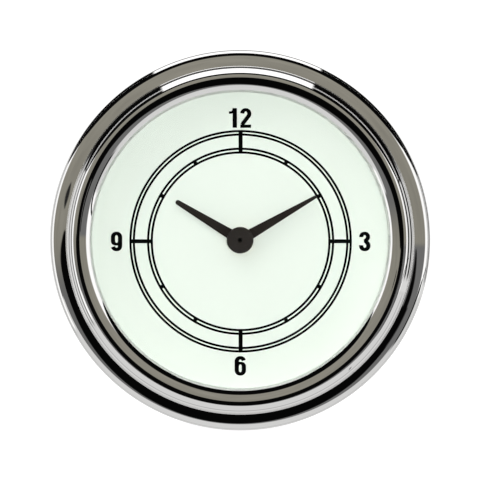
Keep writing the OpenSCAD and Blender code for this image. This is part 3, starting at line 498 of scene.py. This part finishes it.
# Hub cap: turned brass, blackened, with a rounded edge and a small drilled centre, pressed on
# the centre arbor over the minute hand.
CAP_R, CAP_EDGE_R, DRILL_R = 2.09, 0.3, 0.36
blackened, tree, sockets = finish("Blackened hub", Specular_IOR_Level=0.3)
turned = use(tree, drift, {"Color": (0.027, 0.023, 0.021, 1), "Drift": 0.25, "Size": 1.5})
# The drilled centre is painted near black: painted shade in the hole.
painted_hole_shade = use(tree, ring_mask, {"From": -1.0, "To": DRILL_R, "Soft": 0.03})
painted_shade_tint = node(tree, "Mix", {0: painted_hole_shade.outputs[0], 6: turned.outputs[0],
                          7: (0.0008, 0.0008, 0.0008, 1)}, data_type="RGBA")
tree.links.new(painted_shade_tint.outputs[2], sockets["Base Color"])
tree.links.new(use(tree, haze, {"Size": 1.0, "Clean": 0.36, "Hazy": 0.52}).outputs[0],
               sockets["Roughness"])
raise_surface(tree, sockets, [use(tree, turning, {"Pitch": 0.07, "Depth": 0.12}).outputs[0],
                              use(tree, grain, {"Size": 0.12, "Depth": 0.15}).outputs[0]])
cap = [(0, -0.5), (0.7, -0.5), (0.7, -0.1), (CAP_R - 0.04, -0.1), (CAP_R, -0.06), (CAP_R, 0.3)]
cap += arc((CAP_R - CAP_EDGE_R, 0.3), CAP_EDGE_R, 90, 12, 6)
cap += [(0.5, 0.65), (DRILL_R + 0.02, 0.64), (DRILL_R - 0.02, 0.6), (DRILL_R - 0.04, 0.1),
        (0.2, -0.05), (0, -0.1)]
make("hub_cap_turned", [spun(cap, 96)], blackened, "minute_hand", ["hub_cap"])

# Movement frame: two brass plates stamped and brushed, held apart by turned pillars, with
# pressed bushes. The white carrier ring holds the dial, and zinc-plated screws and spacers
# hold the circuit board behind it.


def metal(name, color, clean, hazy, size, marks):
    """A metal with drifting colour, cloudy gloss and its own tool marks."""
    made, tree, sockets = finish(name, 1.0)
    tree.links.new(use(tree, drift, {"Color": color, "Drift": 0.08, "Size": size}).outputs[0],
                   sockets["Base Color"])
    tree.links.new(use(tree, haze, {"Size": size, "Clean": clean, "Hazy": hazy}).outputs[0],
                   sockets["Roughness"])
    raise_surface(tree, sockets, [use(tree, *mark).outputs[0] for mark in marks])
    return made


BRASS = (0.80, 0.58, 0.26, 1)
brass = metal("Satin brass", BRASS, 0.24, 0.4, 4.0,
              [(scratches, {"Size": 3.0, "Depth": 0.15}), (grain, {"Size": 0.2, "Depth": 0.1})])
zinc_steel = metal("Bright zinc plate", (0.68, 0.70, 0.72, 1), 0.24, 0.31, 2.5,
                   [(scratches, {"Size": 2.0, "Depth": 0.08}),
                    (grain, {"Size": 0.3, "Depth": 0.05})])
dress(brass, "front_plate", "back_plate", "plate_bushes", "plate_pillars")
dress(white_plastic, "carrier_ring")
dress(zinc_steel, "board_spacers", "plate_screws")

# Wheels behind the dial and going train: crossed-out brass wheels on polished steel arbors
# with cut leaves. The centre arbor carries the friction spring, and the minute wheel turns
# on a steel stud.
bright_steel = metal("Ground bright steel", (0.58, 0.58, 0.6, 1), 0.14, 0.26, 3.0,
                     [(turning, {"Pitch": 0.08, "Depth": 0.1})])
dress(brass, "hour_collet", "centre_wheel", "cannon_pinion", "minute_wheel", "hour_wheel",
      "third_wheel", "fourth_wheel", "fifth_wheel")
dress(bright_steel, "centre_arbor", "friction_spring", "minute_wheel_stud", "third_arbor",
      "fourth_arbor", "fifth_arbor", "rotor_arbor", "set_arbor")

# Motor: a ground magnet ring in a stamped soft iron stator, with a coil of lacquered copper
# wire on a moulded bobbin. Two tinned pins join the coil to the board.
magnet = metal("Ground magnet", (0.12, 0.12, 0.13, 1), 0.3, 0.5, 1.5,
               [(grain, {"Size": 0.15, "Depth": 0.5})])
soft_iron = metal("Stamped soft iron", (0.42, 0.42, 0.43, 1), 0.3, 0.45, 2.0,
                  [(scratches, {"Size": 2.0, "Depth": 0.2})])
tinned = metal("Tinned metal", (0.74, 0.74, 0.73, 1), 0.25, 0.45, 1.0,
               [(grain, {"Size": 0.3, "Depth": 0.4})])
copper_wire, tree, sockets = finish("Lacquered copper wire", 0.6, Coat_Weight=0.6,
                                    Coat_Roughness=0.12)
tree.links.new(use(tree, drift, {"Color": (0.42, 0.13, 0.04, 1), "Drift": 0.3,
                                 "Size": 1.0}).outputs[0], sockets["Base Color"])
sockets["Roughness"].default_value = 0.35
turns = node(tree, "TexWave", {"Vector": in_millimetres(tree, 0.12), "Scale": 0.32,
                               "Distortion": 0.6}, bands_direction="Z")
raise_surface(tree, sockets, [turns.outputs["Fac"]], 0.00003)
dress(magnet, "rotor_magnet")
dress(soft_iron, "stator", "coil_core")
dress(white_plastic, "coil_bobbin")
dress(copper_wire, "coil_winding")
dress(tinned, "coil_pins")
dress(zinc_steel, "stator_screws")

# Circuit board: lacquered glass fibre with a crystal can, a chip, a sleeved capacitor and
# three resistors, soldered on its back.
board_green, tree, sockets = finish("Lacquered board", Coat_Weight=0.5)
weave = node(tree, "TexBrick", {"Vector": in_millimetres(tree, 1.0), "Scale": 2.0,
                                "Color1": (0.02, 0.13, 0.05, 1), "Color2": (0.03, 0.17, 0.07, 1),
                                "Mortar": (0.015, 0.1, 0.04, 1)})
tree.links.new(weave.outputs["Color"], sockets["Base Color"])
tree.links.new(use(tree, haze, {"Size": 3.0, "Clean": 0.25, "Hazy": 0.4}).outputs[0],
               sockets["Roughness"])
dress(board_green, "circuit_board")


def plastic(name, color, clean, hazy, size=0.2, depth=0.3, change=0.12):
    """A moulded material with a fine grain."""
    made, tree, sockets = finish(name)
    tree.links.new(use(tree, drift, {"Color": color, "Drift": change, "Size": 3.0}).outputs[0],
                   sockets["Base Color"])
    tree.links.new(use(tree, haze, {"Size": 2.5, "Clean": clean, "Hazy": hazy}).outputs[0],
                   sockets["Roughness"])
    raise_surface(tree, sockets, [use(tree, grain, {"Size": size, "Depth": depth}).outputs[0]])
    return made


black_plastic = plastic("Black moulded plastic", (0.018, 0.018, 0.019, 1), 0.34, 0.5)
capacitor_sleeve = plastic("Capacitor sleeve", (0.015, 0.025, 0.09, 1), 0.2, 0.3, 0.6, 0.1)
resistor_body = plastic("Resistor lacquer", (0.55, 0.42, 0.24, 1), 0.25, 0.4, 0.3, 0.2)
dress(tinned, "quartz_crystal")
dress(black_plastic, "microchip")
dress(capacitor_sleeve, "capacitor")
dress(resistor_body, "resistors")
dress(brass, "movement_posts")

# Case: a can drawn from steel sheet, 0.8 mm thick, with a turned-out flange under the bezel
# and a rounded back corner, zinc plated to a soft satin.
plated_case, tree, sockets = finish("Satin plated case", 1.0)
bloom = node(tree, "TexVoronoi", {"Vector": in_millimetres(tree, 2.2), "Scale": 1.0,
                                  "Randomness": 1.0})
tone = spread(tree, bloom.outputs["Color"], 0.0, 1.0, 0.92, 1.0)
plated = node(tree, "VectorMath", {0: use(tree, drift, {
    "Color": (0.60, 0.615, 0.625, 1), "Drift": 0.06, "Size": 9.0}).outputs[0], "Scale": tone},
    operation="SCALE")
tree.links.new(plated.outputs[0], sockets["Base Color"])
tree.links.new(use(tree, haze, {"Size": 2.5, "Clean": 0.3, "Hazy": 0.37}).outputs[0],
               sockets["Roughness"])
raise_surface(tree, sockets, [use(tree, grain, {"Size": 0.25, "Depth": 0.25}).outputs[0],
                              use(tree, scratches, {"Size": 4.0, "Depth": 0.25}).outputs[0]])
BARREL_R, WALL, BACK = 26.2, 0.8, -30.0
INSIDE = BACK + WALL
FLANGE_R, FLANGE_BACK, FLANGE_FACE, BURR = 28.9, 0.6, 1.4, 0.05
MOUTH_R, NECK_R, CORNER_R = 0.5, 0.3, 0.4
THROUGH = (BACK - 1, BACK + 2)
POST_OUT, POST_HOLE_R = 22, 1.45
POSTS = [(POST_OUT * math.cos(a), POST_OUT * math.sin(a))
         for a in map(math.radians, (30, 150, 270))]
STUD_X, STUD_R = 16.0, 2.0
SET_C, SET_HOLE_R = (-9.0127, -12.9917), 1.35
LAMP_C, LAMP_HOLE_R, EAR_SLOT = (0.0, 15.5), 4.12, (1.1, 4.9)
BLOCK_C, BLOCK_HALF = (6.0, -13.0), (7.5, 3.25)


def box(centre, half_x, half_y, z0, z1):
    points = [(centre[0] + x, centre[1] + y, z)
              for z in (z0, z1) for y in (-half_y, half_y) for x in (-half_x, half_x)]
    return points, [(0, 1, 3, 2), (4, 5, 7, 6), (0, 1, 5, 4), (2, 3, 7, 6), (0, 2, 6, 4),
                    (1, 3, 7, 5)]


def drum(r, z0, z1, centre=(0, 0), steps=48):
    return spun([(0, z0), (r, z0), (r, z1), (0, z1)], steps, centre)


def carve(piece, cutters):
    """Cuts some parts out of a piece and keeps the result as its mesh."""
    tool = make(piece.name + "_cutter", cutters, piece.data.materials[0], "clock_case")
    cut = piece.modifiers.new("cut", "BOOLEAN")
    cut.operation, cut.object, cut.solver = "DIFFERENCE", tool, "EXACT"
    bpy.context.view_layer.update()
    ready = bpy.data.meshes.new_from_object(piece.evaluated_get(
        bpy.context.evaluated_depsgraph_get()))
    piece.modifiers.clear()
    piece.data = ready
    smooth(ready)
    bpy.data.objects.remove(tool)


shell = ([(FLANGE_R, FLANGE_BACK + BURR), (FLANGE_R, FLANGE_FACE - BURR),
          (FLANGE_R - BURR, FLANGE_FACE)]
         + arc((BARREL_R - WALL + MOUTH_R, FLANGE_FACE - MOUTH_R), MOUTH_R, 0, -90, 6)
         + arc((BARREL_R - WALL - CORNER_R, INSIDE + CORNER_R), CORNER_R, 90, 180, 6)
         + [(0, INSIDE)])
skin = ([(0, BACK)]
        + arc((BARREL_R - WALL - CORNER_R, INSIDE + CORNER_R), CORNER_R + WALL, 180, 90, 12)
        + arc((BARREL_R + NECK_R, FLANGE_BACK - NECK_R), NECK_R, -90, 0, 6)
        + [(FLANGE_R - BURR, FLANGE_BACK)])
case = make("drawn_case", [spun(shell + skin, 192)], plated_case, "clock_case", ["case"],
            weld=True)
holes = [drum(POST_HOLE_R, *THROUGH, p) for p in POSTS]
holes += [drum(STUD_R + 0.02, *THROUGH, (s * STUD_X, 0)) for s in (-1, 1)]
holes += [drum(SET_HOLE_R, *THROUGH, SET_C), drum(LAMP_HOLE_R, *THROUGH, LAMP_C, 64)]
holes += [box(LAMP_C, *EAR_SLOT, *THROUGH), box(BLOCK_C, *BLOCK_HALF, *THROUGH)]
for hole in holes:
    carve(case, [hole])

# Post screws: three slotted pan heads in zinc-plated steel. They pass through the case back into
# the posts and hold the movement in the case.
SHANK_R, SHANK_END = 1.25, -23.2
HEAD_R, HEAD_LOW, HEAD_EDGE_R = 2.5, BACK - 1.6, 0.5
SLOT_HALF, SLOT_FLOOR = (3, 0.3), BACK - 0.85
screw = [(0, SHANK_END), (SHANK_R, SHANK_END), (SHANK_R, BACK), (HEAD_R - 0.05, BACK),
         (HEAD_R, BACK - 0.05)]
screw += arc((HEAD_R - HEAD_EDGE_R, BACK - 1), HEAD_EDGE_R, 90, 160, 6)
screw += [(1.2, HEAD_LOW + 0.05), (0, HEAD_LOW)]
heads = make("post_screw_heads", [spun(screw, 48, p) for p in POSTS], zinc_steel, "clock_case",
             ["post_screws"])
for p, turn in zip(POSTS, (20, 75, -35)):
    carve(heads, [swung(box((0, 0), *SLOT_HALF, BACK - 3, SLOT_FLOOR), turn, p)])

# Lamp socket: a push-in holder moulded in black plastic, with a flange, four grip ribs and two
# turning ears inside the case, two brass tags for its wires and a clear bulb.
NECK_OUT, BULB_HOLE_R, SOCKET_MOUTH = 4.1, 2.52, -26
COLLAR_R, COLLAR_LOW = 5.2, BACK - 1.5
GRIP_R, GRIP_LOW = 4.4, BACK - 8
stem = [(0, INSIDE), (NECK_OUT, INSIDE), (NECK_OUT, BACK), (COLLAR_R - 0.1, BACK),
        (COLLAR_R, BACK - 0.1), (COLLAR_R, COLLAR_LOW + 0.1), (COLLAR_R - 0.1, COLLAR_LOW),
        (GRIP_R, COLLAR_LOW), (GRIP_R, GRIP_LOW + 0.3), (GRIP_R - 0.2, GRIP_LOW), (0, GRIP_LOW)]
mouth = [(BULB_HOLE_R, SOCKET_MOUTH), (NECK_OUT, SOCKET_MOUTH), (NECK_OUT, INSIDE),
         (BULB_HOLE_R, INSIDE)]
rib = plate([(3, -0.6), (4.85, -0.6), (5.0, -0.45), (5.0, 0.45), (4.85, 0.6), (3, 0.6)],
            GRIP_LOW + 1, COLLAR_LOW + 0.1, 0.12)
holder = [spun(stem, 72, LAMP_C), spun(mouth, 72, LAMP_C, closed=True)]
holder += [swung(rib, a, LAMP_C) for a in (45, 135, 225, 315)]
holder += [box((LAMP_C[0], LAMP_C[1] + s * 4), 1, 1, INSIDE, INSIDE + 1) for s in (-1, 1)]
make("lamp_socket_moulding", holder, black_plastic, "clock_case", ["lamp_socket"])
bulb_glass, tree, sockets = finish("Bulb glass", Base_Color=(0.98, 0.98, 0.96, 1),
                                   Transmission_Weight=1.0, IOR=1.45)
tree.links.new(use(tree, haze, {"Size": 2.0, "Clean": 0.02, "Hazy": 0.1}).outputs[0],
               sockets["Roughness"])
dress(bulb_glass, "lamp_bulb")
dress(brass, "lamp_contacts")

# Terminals: a brown phenolic block pushed through the case back, with three blanked brass
# blades, each pierced near its end.
phenolic = plastic("Brown phenolic", (0.085, 0.038, 0.018, 1), 0.3, 0.45, 0.4, 0.25, 0.3)
BLOCK_EDGE_R = 0.4
outline = []
for x, y, start in ((1, 1, 0), (-1, 1, 90), (-1, -1, 180), (1, -1, 270)):
    outline += bow(BLOCK_C[0] + x * (BLOCK_HALF[0] - BLOCK_EDGE_R),
                   BLOCK_C[1] + y * (BLOCK_HALF[1] - BLOCK_EDGE_R),
                   BLOCK_EDGE_R, BLOCK_EDGE_R, start, start + 90, 4)
make("terminal_block_moulding",
     [plate(outline, BACK - 2.5, INSIDE + 0.1, 0.15),
      box(BLOCK_C, BLOCK_HALF[0] + 1, BLOCK_HALF[1] + 1, INSIDE, INSIDE + 1.2)],
     phenolic, "clock_case", ["terminal_block"])
dress(brass, "terminal_blades")

# Mounting studs and their nuts: zinc-plated studs with a rolled M4 thread, each locked on the
# case back by a chamfered hexagon nut.
THREAD_FROM, STUD_END, PITCH, THREAD_DEEP = -29, -50, 0.7, 0.38
END_CHAMFER = 0.6
STUD_HEAD_R, STUD_HEAD_T = 3.5, 1.2


def groove(r, z, a):
    """Radius rule for spun(), of a cut thread that runs out in a chamfer at the stud's end."""
    turn = (z / PITCH + a / (2 * math.pi)) % 1.0
    return min(r - THREAD_DEEP * abs(2 * turn - 1), r - END_CHAMFER + max(0.0, z - STUD_END))


count = int((THREAD_FROM - STUD_END) / PITCH * 8)
stud = [(0, THREAD_FROM)] + [(STUD_R, THREAD_FROM + (STUD_END - THREAD_FROM) * i / count)
                             for i in range(count + 1)] + [(0, STUD_END)]
studs = [spun(stud, 40, (s * STUD_X, 0), shape=groove) for s in (-1, 1)]
studs += [drum(STUD_HEAD_R, INSIDE, INSIDE + STUD_HEAD_T, (s * STUD_X, 0)) for s in (-1, 1)]
make("threaded_studs", studs, zinc_steel, "clock_case", ["mounting_studs"], 50)

HEX_FLATS, HEX_CORNER_R, HEX_T = 7.0, 4.04, 3.2
HEX_CHAMFER, CHAMFER_SLOPE = 0.35, 1.7
HEX_LOW = BACK - HEX_T


def hexagon(r, z, a):
    """Radius rule for spun(), of a hexagon nut whose corners are turned off at both ends."""
    turn = (a + math.pi / 6) % (math.pi / 3) - math.pi / 6
    near = min(BACK - z, z - HEX_LOW)
    corner_r = HEX_CORNER_R - max(0.0, HEX_CHAMFER - near) * CHAMFER_SLOPE
    return min(r, HEX_FLATS / 2 / math.cos(turn), corner_r) if r > 2.5 else r


nut = [(2.02, BACK)] + [(4.2, BACK - t) for t in (0, 0.1, 0.2, HEX_CHAMFER, HEX_T / 2,
                                                  HEX_T - HEX_CHAMFER, 3.0, 3.1, HEX_T)]
nut += [(2.3, HEX_LOW), (2.02, HEX_LOW + 0.25)]
nuts = [spun(nut, 144, (s * STUD_X, 0), closed=True, shape=hexagon) for s in (-1, 1)]
make("hexagon_nuts", nuts, zinc_steel, "clock_case", ["stud_nuts"], 28)

# Clamp: a strap of zinc-plated steel bent to a U. Its notched feet press on the back of the
# dash panel, and a plain washer lies under each thumb nut.
LEG_X, STRAP_T, STRAP_TOP, FEET, STRAP_W, BEND_R = 27.4, 1.4, -38.5, -5.0, 12.0, 0.6


def strap_bend(r):
    """The quarter turn from a leg of the strap to its back, at a radius."""
    return bow(LEG_X - BEND_R, STRAP_TOP + BEND_R, r, -r, 0, 90, 12)


outer = [(LEG_X + STRAP_T, FEET)] + strap_bend(BEND_R + STRAP_T)
inner = strap_bend(BEND_R)[::-1] + [(LEG_X, FEET)]
u_shape = outer + [(-x, z) for x, z in reversed(outer)]
u_shape += [(-x, z) for x, z in reversed(inner)] + inner
points, faces = plate(u_shape, -STRAP_W / 2, STRAP_W / 2, 0.2)
bracket = make("clamp_strap", [([(x, y, z) for x, z, y in points], faces)], zinc_steel, "clamp",
               ["clamp_bracket"])
for s in (-1, 1):
    carve(bracket, [drum(STUD_R + 0.35, STRAP_TOP - 2.5, STRAP_TOP + 0.5, (s * STUD_X, 0))])
    carve(bracket, [box((s * LEG_X, 0), 3, 2, FEET - 1.2, FEET + 1)])
WASHER_R, WASHER_HOLE_R, WASHER_T = 4.6, 2.35, 0.8
WASHER_TOP = STRAP_TOP - STRAP_T
NUT_TOP = WASHER_TOP - WASHER_T
washer = [(WASHER_HOLE_R, WASHER_TOP), (WASHER_R - 0.1, WASHER_TOP), (WASHER_R, WASHER_TOP - 0.1),
          (WASHER_R, NUT_TOP + 0.1), (WASHER_R - 0.1, NUT_TOP), (WASHER_HOLE_R + 0.05, NUT_TOP),
          (WASHER_HOLE_R, NUT_TOP + 0.05)]
washers = [spun(washer, 96, (s * STUD_X, 0), closed=True) for s in (-1, 1)]
make("plain_washers", washers, bright_steel, "clamp", ["clamp_washers"])

# Thumb nuts: turned from brass bar with a collar, a straight knurl and a chamfered end. Each is
# run up its stud by hand, against the washer on the strap.
NUT_LOW = NUT_TOP - 5.5
NUT_R, NUT_COLLAR_R, NUT_BORE_R, END_R = 5.0, 3.9, 2.05, 4.4
NUT_RIDGES = 24


def ridges(count, deep, power, from_r):
    """Radius rule for spun(), which cuts grooves between ridges where the radius is larger."""
    def shape(r, z, a):
        return r - deep * (1 - abs(math.sin(a * count / 2))) ** power if r > from_r else r
    return shape


thumb_nut = [(NUT_BORE_R, NUT_TOP), (NUT_COLLAR_R - 0.1, NUT_TOP), (NUT_COLLAR_R, NUT_TOP - 0.1),
             (NUT_COLLAR_R, NUT_TOP - 0.8), (NUT_R - 0.4, NUT_TOP - 0.85), (NUT_R, NUT_TOP - 1.1),
             (NUT_R, NUT_LOW + 0.75), (NUT_R - 0.4, NUT_LOW + 0.42), (END_R, NUT_LOW + 0.4),
             (END_R, NUT_LOW + 0.1), (END_R - 0.1, NUT_LOW), (NUT_BORE_R + 0.35, NUT_LOW),
             (NUT_BORE_R, NUT_LOW + 0.3)]
knurl = ridges(NUT_RIDGES, 0.32, 1.4, NUT_R - 0.1)
for side, x in (("left", -STUD_X), ("right", STUD_X)):
    turned_brass = metal("Turned brass " + side, BRASS, 0.2, 0.32, 3.0,
                         [(turning, {"Centre": [x / 1000, 0, 0], "Pitch": 0.1, "Depth": 0.2})])
    make("knurled_nut_" + side, [spun(thumb_nut, 240, (x, 0), closed=True, shape=knurl)],
         turned_brass, side + "_thumb_nut", ["thumb_nut_" + side])

# Setting knob: moulded in black plastic with a short hub and twenty grip ridges, and pressed on
# the end of the set arbor behind the case.
KNOB_R, KNOB_TOP, KNOB_RIDGES = 4.5, -31.4, 20
HUB_R, HUB_TOP, ARBOR_R = 2.2, -30.5, 1.02
DISC_R, DISC_Z, DISC_EDGE_R = 3.9, KNOB_TOP - 5.0, 0.5
knob = [(ARBOR_R, HUB_TOP), (HUB_R - 0.1, HUB_TOP), (HUB_R, HUB_TOP - 0.1), (HUB_R, KNOB_TOP),
        (KNOB_R - 0.3, KNOB_TOP), (KNOB_R, KNOB_TOP - 0.3), (KNOB_R, KNOB_TOP - 4.5),
        (KNOB_R - 0.3, KNOB_TOP - 4.8), (DISC_R, KNOB_TOP - 4.8), (DISC_R, DISC_Z)]
knob += arc((DISC_R - DISC_EDGE_R, DISC_Z), DISC_EDGE_R, 90, 180, 6)
knob.append((0, DISC_Z - DISC_EDGE_R))
grip = ridges(KNOB_RIDGES, 0.3, 1.3, KNOB_R - 0.2)
make("setting_knob_grip", [spun(knob, 240, SET_C, shape=grip)], black_plastic,
     "setting_shaft", ["set_knob"])

# Floor and backdrop: one plain pale sheet under the clock, which curves up behind it. It glows a
# little, so that the background stays even and pale.
pale, tree, sockets = finish("Pale floor", Emission_Strength=0.93, Roughness=0.9,
                             Emission_Color=(1, 1, 1, 1), Specular_IOR_Level=0.1)
tree.links.new(use(tree, drift, {"Color": (0.25, 0.25, 0.25, 1), "Drift": 0.01,
                                 "Size": 90.0}).outputs[0], sockets["Base Color"])
FLOOR_Z = -(BEZEL_R + 0.01) / 1000
HALF_W, CURVE_FROM, CURVE_R, SHEET_TOP = 3.0, 1.2, 0.5, 2.5
sweep = [(-HALF_W, FLOOR_Z)] + bow(CURVE_FROM, FLOOR_Z + CURVE_R, CURVE_R, CURVE_R, -90, 0, 16)
sweep.append((CURVE_FROM + CURVE_R, SHEET_TOP))
floor_mesh = bpy.data.meshes.new("floor_sweep")
floor_mesh.from_pydata([(x, y, z) for y, z in sweep for x in (-HALF_W, HALF_W)], [],
                       [(2 * i, 2 * i + 1, 2 * i + 3, 2 * i + 2) for i in range(len(sweep) - 1)])
floor_mesh.shade_smooth()
floor_mesh.materials.append(pale)
floor = bpy.data.objects.new("floor_sweep", floor_mesh)
bpy.context.scene.collection.objects.link(floor)
floor.visible_glossy = False
floor.visible_transmission = False

# Studio round the clock: white cards, a grey wall, a pale table and a dark room, laid out by
# direction, so that the polished ring shows them where a real studio would.
world = bpy.data.worlds.new("Studio")
bpy.context.scene.world = world
world.use_nodes = True
tree = world.node_tree
card, given, out = effect("Studio card", {
    "Theta": 0.0, "Phi": 0.0, "From": 0.0, "From bend": 0.0, "To": 180.0, "To bend": 0.0,
    "Power": 1.0, "Centre": 0.0, "Half": 180.0, "Soft": 1.0}, {"Mask": float})
away = math_node(card, "ABSOLUTE", math_node(card, "WRAP", math_node(
    card, "SUBTRACT", given["Phi"], given["Centre"]), -180.0, 180.0))
curve = math_node(card, "POWER", math_node(card, "DIVIDE", away, given["Half"]), given["Power"])
first = math_node(card, "MULTIPLY_ADD", curve, given["From bend"], given["From"])
last = math_node(card, "MULTIPLY_ADD", curve, given["To bend"], given["To"])


def rises(tree, value, edge, soft):
    """Goes from 0 to 1 where the value passes an edge, over a soft step."""
    low = math_node(tree, "SUBTRACT", edge, soft)
    high = math_node(tree, "ADD", edge, soft)
    return node(tree, "MapRange", {"Value": value, "From Min": low, "From Max": high,
                                   "To Min": 0.0, "To Max": 1.0},
                interpolation_type="SMOOTHSTEP").outputs[0]


past = rises(card, given["Theta"], first, given["Soft"])
beyond = rises(card, given["Theta"], last, given["Soft"])
aside = rises(card, away, given["Half"], given["Soft"])
mask = math_node(card, "MULTIPLY", past, math_node(card, "SUBTRACT", 1.0, beyond))
mask = math_node(card, "MULTIPLY", mask, math_node(card, "SUBTRACT", 1.0, aside))
card.links.new(mask, out["Mask"])

direction = node(tree, "TexCoord").outputs["Generated"]
parts = node(tree, "SeparateXYZ", {0: direction}).outputs
DEGREES = 180 / math.pi
theta = math_node(tree, "MULTIPLY", math_node(tree, "ARCCOSINE", math_node(
    tree, "MULTIPLY", parts["Y"], -1.0)), DEGREES)
phi = math_node(tree, "MULTIPLY", math_node(tree, "ARCTAN2", parts["X"], parts["Z"]), DEGREES)
raised = spread(tree, parts["Z"], -0.1, 0.5, 0.84, 1.0)
patchy = node(tree, "TexNoise", {"Vector": direction, "Scale": 9.0, "Detail": 5.0}).outputs[0]
raised = math_node(tree, "MULTIPLY", raised, spread(tree, patchy, 0.3, 0.7, 0.91, 1.09))
wall = node(tree, "VectorMath", {0: (0.287, 0.275, 0.234), "Scale": raised}, operation="SCALE")
STUDIO = (
    # name, from, its bend, to, its bend, power, centre, half, soft, grey
    ("rear", 124, 0, 200, 0, 1, 0, 181, 4, 0.8),
    ("low right", -9, 0, 70, 0, 1, 151, 59.5, 1, 0.16),
    ("low left", -9, 0, 70, 0, 1, 231, 30, 9, 0.145),
    ("room above", -9, 0, 7, 18, 1, 0, 181, 1, 0.002),
    ("room below", -9, 0, 37.5, -13, 1.5, 190, 64, 1, 0.002),
    ("room left end", 8, 12, 25, -5, 3, 254, 19.5, 0.7, 0.002),
    ("room right side", -9, 0, 24.3, 0, 1, 122, 10, 0.7, 0.002),
    ("room right end", 19.6, 0, 23.6, -3, 2, 113, 20, 0.5, 0.002),
    ("table", 40, 7.5, 200, 0, 2, 180, 72, 1.2, 0.70),
    ("table edge", 97, 0, 105, 0, 1, 180, 72, 2, 0.42),
    ("left box", 54, 0, 200, 0, 1, -85, 33, 1.5, 0.8),
    ("left box centre", 54, 0, 69, 0, 1, -85, 33, 1.5, 1.1),
    ("left rail", 74, 0, 83, 0, 1, -90, 30, 1.5, 0.2),
    ("far left rail", 99, 0, 111, 0, 1, -90, 30, 1.5, 0.25),
    ("right box", 45, 0, 200, 0, 1, 78.5, 30, 1.5, 0.75),
    ("right box centre", 45, 0, 59, 0, 1, 78.5, 30, 1.5, 1.1),
    ("right rail", 66, 0, 81, 0, 1, 80, 23, 1.5, 0.02),
    ("far right rail", 97, 0, 116, 0, 1, 80, 23, 1.5, 0.02),
    ("right leg", 44.3, 36, 49.8, 38, 5.5, 118, 22, 0.5, 0.005),
    ("table patch", 44, 0, 76, 0, 1, 139, 14, 3, 0.70),
    ("stand knob", 20.8, 1.5, 24, -1.5, 2, -75.5, 4.5, 0.7, 0.02),
    ("top gap", 42, 28, 138, -38, 8, 2, 68, 1, 0.002),
    ("top rail", 78, 0, 81, 0, 1, 2, 67, 0.5, 0.9),
    ("far top rail", 84.5, 0, 87, 0, 1, 2, 67, 0.5, 0.9),
    ("top card", 59.5, 0, 118, 0, 1, -1, 26.3, 0.7, 1.3),
)
color = None
for label, start, start_bend, end, end_bend, power, centre, half, soft, grey in STUDIO:
    seen = use(tree, card, {
        "Theta": theta, "Phi": phi, "From": start, "From bend": start_bend, "To": end,
        "To bend": end_bend, "Power": power, "Centre": centre, "Half": half, "Soft": soft})
    seen.label = label
    color = node(tree, "Mix", {0: seen.outputs[0], 6: color or wall.outputs[0],
                               7: (grey, grey, grey, 1)}, data_type="RGBA").outputs[2]
path = node(tree, "LightPath").outputs["Is Camera Ray"]
color = node(tree, "Mix", {0: path, 6: color, 7: (1, 1, 1, 1)}, data_type="RGBA").outputs[2]
tree.links.new(color, tree.nodes["Background"].inputs["Color"])


def soft_lamp(name, place, size, power):
    """A large soft area lamp aimed at the clock, which doesn't show in the polished ring."""
    data = bpy.data.lights.new(name, "AREA")
    data.shape, data.size, data.energy = "DISK", size, power
    data.cycles.use_multiple_importance_sampling = False
    lamp = bpy.data.objects.new(name, data)
    lamp.location = place
    lamp.rotation_euler = (-Vector(place)).to_track_quat("-Z", "Y").to_euler()
    lamp.visible_glossy = False
    lamp.visible_transmission = False
    bpy.context.scene.collection.objects.link(lamp)


soft_lamp("Lens lamp", (0.03, -1.0, -0.03), 0.15, 12.5)
soft_lamp("Key lamp", (-0.25, -0.9, 0.35), 1.5, 5.8)
soft_lamp("Rear lamp", (0.4, 0.8, 0.7), 0.6, 8.0)
bpy.context.scene.view_settings.view_transform = "Standard"

# Camera: straight in front of the dial, at the distance from the bezel's rim that the picture
# was taken from. It stands a trace left of the axis and above it.
DISTANCE, PICTURE_W, OFF_AXIS = 0.6, 0.0752, 0.00003
view = bpy.data.cameras.new("Front view")
view.lens = view.sensor_width * DISTANCE / PICTURE_W
view.clip_start = 0.01
camera = bpy.data.objects.new("Front view", view)
camera.location = (-OFF_AXIS, -DISTANCE - RIM_Z / 1000, OFF_AXIS)
camera.rotation_euler = (math.pi / 2, 0, 0)
bpy.context.scene.collection.objects.link(camera)
bpy.context.scene.camera = camera
